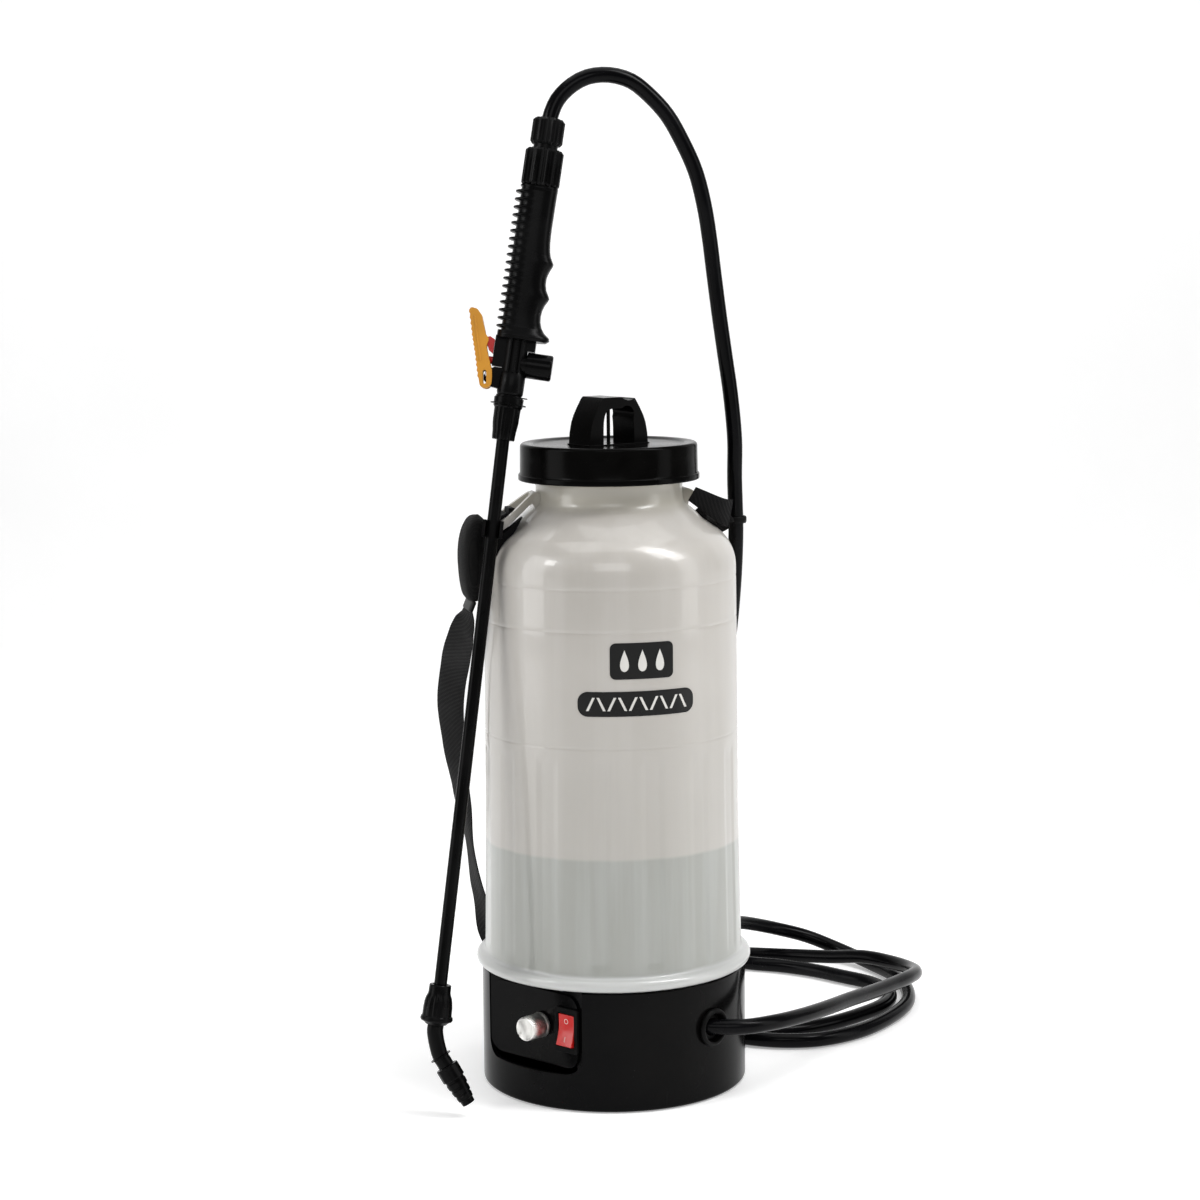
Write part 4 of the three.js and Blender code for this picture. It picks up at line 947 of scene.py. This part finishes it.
def swell(obj, voxel=0.004, cap=0.005, pressure=3.0, frames=20):
    """Puffs a pad up by a cloth simulation, and keeps each point's shift within the cap."""
    remesh = obj.modifiers.new("remesh", "REMESH")
    remesh.mode = "VOXEL"
    remesh.voxel_size = voxel
    apply_modifiers(obj)
    before = np.zeros(len(obj.data.vertices) * 3)
    obj.data.vertices.foreach_get("co", before)
    cloth = obj.modifiers.new("cloth", "CLOTH")
    cloth.settings.use_pressure = True
    cloth.settings.uniform_pressure_force = pressure
    cloth.settings.effector_weights.gravity = 0
    cloth.settings.quality = 6
    for number in range(1, frames + 1):
        scene.frame_set(number)
    graph = bpy.context.evaluated_depsgraph_get()
    mesh = bpy.data.meshes.new_from_object(obj.evaluated_get(graph))
    after = np.zeros(len(mesh.vertices) * 3)
    mesh.vertices.foreach_get("co", after)
    shift = (after - before).reshape(-1, 3)
    length = np.linalg.norm(shift, axis=1, keepdims=True)
    shift *= np.minimum(1, cap / np.maximum(length, 1e-9))
    obj.modifiers.clear()
    obj.data.vertices.foreach_set("co", before + shift.ravel())
    obj.data.update()
    bpy.data.meshes.remove(mesh)
    scene.frame_set(1)
    shade(obj, 80)


def add_strap():
    add_pad()
    add_web("web_left", LEFT_ROUTE, "strap_web_left")
    add_web("web_right", RIGHT_ROUTE, "strap_web_right")
    add_web("web_tab", TAB_ROUTE, "strap_tab", width=(11, 21))
    slider = [(left_place(100, 351.6), LEFT_ACROSS), (left_place(103, 344.4), LEFT_ACROSS)]
    shape, _ = band(slider, (31, 31), 3.4, 2, 12)
    piece("slider_frame", shape, SATIN, "tank", ["strap_slider"], edge=0.8, sharp=50)
    space = [sideways(LOOP_SPACE, -20, 20)]
    for name, outline, half, node, cuts in (
        ("web_loop_left", LOOP_SIDE, 12.5, "strap_loop_left", space),
        ("web_flap", FOLD_SIDE, 8, "strap_flap", []),
        ("web_loop_right", LOOP_SIDE, 12.5, "strap_loop_right", space),
    ):
        turn = LUG_TURNS["right" if "right" in name else "left"]
        loop = piece(name, sideways(outline, -half, half), WEB, "tank", [node], cuts=cuts,
                     at=turn_about("Z", turn - 90), edge=0.6, sharp=50)
        places = [vertex.co / MM for vertex in loop.data.vertices]
        lay_strip(loop, lambda number: (places[number].z, places[number].x + places[number].y))
    tie = turned([(6.4, -2.3), (7.4, -2.5), (7.9, -1.6), (8, 0), (7.9, 1.6), (7.4, 2.5),
                  (6.4, 2.3)], 48)
    piece("tie_ring", tie, RUBBER, "tank", ["hose_tie"], at=Matrix.Translation(TIE_AT), sharp=50)


add_strap()

# -------- lance
GRIP_FOOT, TEETH_LOW, GRIP_HIGH = 69.8, 75, 176
TEETH, TOOTH_ROOT, TOOTH_DEEP = 18, 12.3, 3.7
FRONT_HEIGHTS = [
    GRIP_FOOT, 71.5, 73.5, 76.5, 80, 84, 88, 92, 95.5, 98.6, 100.5, 102.6, 106, 110, 114, 117,
    120.5, 123, 124.6, 126.4, 129.5, 133, 138, 144, 150, 170, 176,
]
FRONT_REACHES = [
    19.6, 21.9, 21.4, 17.6, 15.2, 13.9, 13.6, 14.1, 15.2, 16.9, 17.7, 16.8, 14.9, 13.9, 13.8, 14.4,
    15.7, 16.9, 17.1, 16.1, 14.5, 13.6, 12.9, 12.6, 12.5, 12.7, 12.9,
]


def grip_back(z):
    """How far the grip's toothed back stands out at a height."""
    if z < TEETH_LOW:
        return 14.6 if z < TEETH_LOW - 0.2 else TOOTH_ROOT
    if z > GRIP_HIGH - 1:
        return 13.2
    pitch = (GRIP_HIGH - TEETH_LOW - 2) / TEETH
    phase = ((z - TEETH_LOW) / pitch) % 1
    return TOOTH_ROOT + TOOTH_DEEP * math.exp(-((phase - 0.5) / 0.2) ** 4)


def add_grip():
    """The handle: finger ridges and a guard in front, and a toothed back."""
    rings = []
    for z in np.linspace(GRIP_FOOT, GRIP_HIGH, 300):
        front, back = float(np.interp(z, FRONT_HEIGHTS, FRONT_REACHES)), grip_back(z)
        flare = np.interp(z, [GRIP_FOOT, 72, 75, 78], [1.6, 2.0, 0.9, 0])
        half = 11.2 + flare + 0.35 * math.exp(-((z - 174.5) / 1.2) ** 2)
        ring = []
        for a in np.linspace(0, 2 * math.pi, 64, endpoint=False):
            c, s = math.cos(a), math.sin(a)
            reach = front if c > 0 else TOOTH_ROOT + (back - TOOTH_ROOT) * min(1, -c * 1.6)
            ring.append((reach * signed_power(c, 0.85), half * signed_power(s, 0.8), z))
        rings.append(ring)
    piece("grip_moulding", lofted(rings), GRIP_BLACK, "lance", ["grip"], at=LANCE, sharp=50)


def ribbed(outer, inner, low, high, ribs, chamfer=1.6):
    """A ribbed nut with chamfered ends."""
    profile = [(inner, low), (outer - chamfer * 0.8, low), (outer, low + chamfer),
               (outer, high - chamfer), (outer - chamfer * 0.9, high), (inner, high)]
    return turned(profile, ribs * 8, grooves(range(1, 5), ribs, 1.1, 4))


def add_couplings():
    coupling = ribbed(13.3, 6, GRIP_HIGH + 0.3, 202, 18)
    stem = turned([(5.6, 201), (8.4, 201), (8.4, 206.5), (5.6, 206.5)], 48)
    hose_nut = ribbed(11.2, 6.4, 205.3, 223.5, 14, 1.8)
    piece("coupling_ribbed", coupling, GRIP_BLACK, "lance", ["coupling_nut"], at=LANCE, sharp=30)
    piece("coupling_stem", stem, GRIP_BLACK, "lance", at=LANCE)
    piece("hose_nut_ribbed", hose_nut, GRIP_BLACK, "lance", ["hose_nut"], at=LANCE, sharp=30)


def add_valve():
    barrel = turned([
        (0, 30), (8.4, 30), (8.4, 31), (8.9, 31.6), (9.2, 33), (9.2, 45.5), (8.6, 46.6), (8.3, 48),
        (8.3, 66), (8, 69.6), (8, 75), (0, 75),
    ], 72)
    crosswise = LANCE.inverted() @ VALVE
    boss = moved(turned([(0, 0), (7, 0), (7, 10), (0, 10)], 48), crosswise)
    bore = moved(turned([(0, -20), (3, -20), (3, -5), (0, -5)], 32), crosswise)
    latch = box(3, 13.2, -4.6, 4.6, 62.6, 71)
    slide = box(-15, -6, -4.1, 4.1, 49.6, 71)
    ear = sideways([(-5, 34), (-14.6, 35.2), (-19, 38.8), (-19.4, 42), (-18.4, 45.4), (-13, 49),
                    (-5, 49)], -4.1, 4.1)
    ribs = [box(x - 0.55, x + 0.55, -9.3, -6.2, 47, 72) for x in (-3.6, 0.4, 4)]
    flash = sideways([(-9, 30), (12.6, 29.8), (12.6, 30.5), (-9, 31)], -1.2, 1.2)
    piece("valve_moulding", barrel, GRIP_BLACK, "lance", ["valve_body"], at=LANCE, edge=0.5,
          joins=[boss, latch, slide, ear, *ribs, flash], cuts=[bore], sharp=38)
    cap = turned([
        (7.3, 8.6), (8.9, 8.6), (9.0, 9.4), (9.0, 24.4), *arc(7.4, 24.9, 1.6, 0, 90, 6), (4, 26.6),
        (0, 26.6), (0, 22.8), (4.4, 22.8), (4.4, 14.7), (7.3, 14.7),
    ], 72)
    piece("valve_cap_round", cap, GLOSS, "lance", ["valve_cap"], at=VALVE, sharp=40)


def add_lever():
    edge = [(-22.2, 37), (-23.4, 41), (-27.2, 55.4), (-31.2, 68.4), (-34.2, 79.7), (-35.4, 84)]
    serrations = []
    for (x0, z0), (x1, z1) in zip(edge, edge[1:]):
        count = max(1, round((z1 - z0) / 3.4))
        for i in range(1, count + 1):
            x, z = x0 + (x1 - x0) * i / count, z0 + (z1 - z0) * i / count
            serrations += [(x + 0.8, z - 1.5), (x - 0.3, z - 0.2)]
    outline = [
        (-13.3, 37), (-13.9, 35.2), (-15.2, 33.9), (-16.9, 33.4), (-19, 33.7), (-21.1, 34.8),
        *serrations, (-35.5, 85.4), (-34.9, 86.6), (-33.6, 87), (-30.8, 86.7), (-29.6, 86),
        (-26.4, 82.6), (-24.2, 76.4), (-22.1, 70.5), (-19.6, 67.6), (-19.4, 66.2), (-20.3, 62.6),
        (-19.8, 60.4), (-16.3, 51.1), (-14.3, 46.4), (-13.5, 41.5),
    ]
    channel = [(-10, 28), (-20.6, 28), (-20.9, 41), (-24.2, 55), (-28.9, 72), (-29.4, 76),
               (-10, 76)]
    slot = [*arc(-19.1, 44.4, 1.2, 0, 180, 6), *arc(-18.1, 37.4, 1.2, 180, 360, 6)]
    ridge = sideways([(-31.8, 82), (-30.9, 82.2), (-22.5, 52), (-23.4, 51.7)], -7.75, -7)
    piece("lever_moulding", sideways(outline, -7.2, 7.2), YELLOW, "trigger", ["trigger_lever"],
          at=LANCE, cuts=[sideways(channel, -4.6, 4.6), sideways(slot, -9, 9)], joins=[ridge],
          edge=0.5, sharp=38)


def add_wand():
    nut = turned([
        (5.3, 0), (7.6, 0), (7.9, 0.6), (8.2, 6), (9.0, 12), (9.2, 22), (10.0, 23), (10.1, 24.2),
        (12.4, 24.5), (12.4, 25.1), (10.2, 25.4), (10.3, 29.2), (9.4, 29.6), (9.4, 30.4), (6.7, 31),
        (6.7, 12.5), (5.3, 12.5),
    ], 144, grooves(range(2, 6), 12, 0.45))
    rod = turned([(3.4, -9.4), (4.5, -9.4), (4.5, TUBE_LONG * 0.5), (4.5, TUBE_LONG + 12),
                  (3.4, TUBE_LONG + 12)], 48)
    tip_nut = turned([
        (5.3, 0), (7.2, 0), (7.6, -0.5), (7.7, -5.5), (8.1, -7), (9.0, -9), (9.7, -12),
        (10.1, -16), (10.2, -21.5), (10.9, -22.2), (11.2, -23.2), (11.2, -24.4), (10.6, -25.2),
        (9.2, -25.6), (7.2, -27.6), (6.3, -27.6), (5.3, -25),
    ], 144, grooves(range(5, 9), 12, 0.4))
    piece("lance_nut_ribbed", nut, GRIP_BLACK, "lance", ["lance_nut"], at=LANCE, sharp=30)
    piece("wand_tube", rod, GRIP_BLACK, "lance", ["lance_tube"], at=TUBE, sharp=50)
    piece("tip_nut_ribbed", tip_nut, GRIP_BLACK, "lance", ["nozzle_nut"], at=TUBE, sharp=30)


def add_nozzle():
    down = [TUBE @ Vector((0, 0, z)) for z in (-10.4, -26, -33)]
    out = [NOZZLE @ Vector((0, 0, z)) for z in (9, 14, 17)]
    path = smooth_path([*down, *out], 1.2)
    run = [0]
    for first, second in zip(path, path[1:]):
        run.append(run[-1] + (second - first).length)
    inside_nut = 17.4
    arm = tube(path, [5 if distance < inside_nut else 5.6 for distance in run], 32)
    collar = moved(turned([(0, 9.2), (7.6, 9.4), (7.6, 10), (0, 10.2)], 40), NOZZLE)
    spigot = moved(turned([(0, 14), (5.6, 14), (5.6, 17), (4, 17.2), (4, 30), (0, 30)], 40), NOZZLE)
    piece("elbow_moulding", together(arm, spigot, collar), GRIP_BLACK, "elbow", ["nozzle_elbow"],
          sharp=40)
    cap = turned([
        (5.9, 17.5), (7.7, 17.5), (8.1, 17.9), (8.1, 27), (7.7, 27.6), (6.9, 27.8), (6.9, 29.4),
        (7.4, 29.8), (7.1, 33.4), (6.3, 33.8), (6.3, 35.2), (6.7, 35.6), (6.3, 38.8), (5.6, 39.2),
        (5.6, 40.4), (5.9, 40.8), (5.4, 43.6), (4.8, 44), (4.6, 47.2), (4.4, 47.5), (1.2, 47.5),
        (0.9, 46.6), (0.9, 42), (4.4, 40), (4.4, 20.2), (5.9, 20.2),
    ], 60, grooves(range(3, 5), 10, 0.4))
    piece("tip_cap_turned", cap, GRIP_BLACK, "tip", ["nozzle_cap"], at=NOZZLE, sharp=30)


add_grip()
add_couplings()
add_valve()
add_lever()
add_wand()
add_nozzle()


# -------- floor and light
def floor_look():
    look = Look("floor", (0.86, 0.86, 0.86), 0.6)
    base = look.mix(look.ranged(look.noise(3, 3), 0.35, 0.65), (0.86, 0.86, 0.86),
                    (0.88, 0.88, 0.88))
    return look.set(Base_Color=base, Emission_Color=(1, 1, 1, 1), Emission_Strength=0.3)


def add_stage():
    """A sheet of white paper under the sprayer that curves up behind it."""
    across, front, back, bend, tall = 4.0, -2.6, 2.6, 0.8, 3.2
    curve = [(back - bend + bend * math.sin(a), bend - bend * math.cos(a))
             for a in np.linspace(0.1, math.pi / 2, 12)]
    line = [(front, 0), (back - bend, 0), *curve, (back, tall)]
    points = [(x, y, z) for y, z in line for x in (-across, across)]
    faces = [[2 * i, 2 * i + 1, 2 * i + 3, 2 * i + 2] for i in range(len(line) - 1)]
    mesh = bpy.data.meshes.new("paper")
    mesh.from_pydata(points, [], faces)
    smooth_faces(mesh)
    mesh.materials.append(floor_look())
    paper = bpy.data.objects.new("paper", mesh)
    scene.collection.objects.link(paper)


def add_light(name, place, target, size, power):
    data = bpy.data.lights.new(name, "AREA")
    data.shape = "RECTANGLE"
    data.size, data.size_y = size
    data.energy = power
    light = bpy.data.objects.new(name, data)
    light.location = place
    light.rotation_mode = "QUATERNION"
    light.rotation_quaternion = (Vector(target) - Vector(place)).to_track_quat("-Z", "Y")
    scene.collection.objects.link(light)


def add_lights():
    middle = (0, 0, 0.35)
    add_light("side_left", (-1.9, -0.6, 0.9), middle, (0.9, 1.8), 14.5)
    add_light("side_right", (1.9, -0.5, 0.9), middle, (0.7, 1.8), 7.5)
    add_light("front", (0.1, -2.6, 1.7), (0, 0, 0.3), (1.6, 1.0), 11)
    add_light("overhead", (0, 0.2, 2.6), (0, 0, 0), (2.4, 2.4), 29)
    for across, up in ((0, 0), (0.46, 0.02), (-0.02, 0.62), (0.44, 0.66)):
        place = (0.78 + across, -0.42, 1.35 + up)
        add_light("window_pane", place, (0.035, -0.076, 0.39), (0.38, 0.5), 4)
    add_light("lamp_left", (-1.36, -0.8, 1.25), (0, 0, 0.38), (0.32, 0.32), 3.4)
    world = bpy.data.worlds.new("studio")
    world.use_nodes = True
    sky = world.node_tree.nodes["Background"].inputs
    sky["Color"].default_value = (1, 1, 1, 1)
    sky["Strength"].default_value = 0.22
    scene.world = world
    scene.view_settings.view_transform = "Standard"


add_stage()
add_lights()
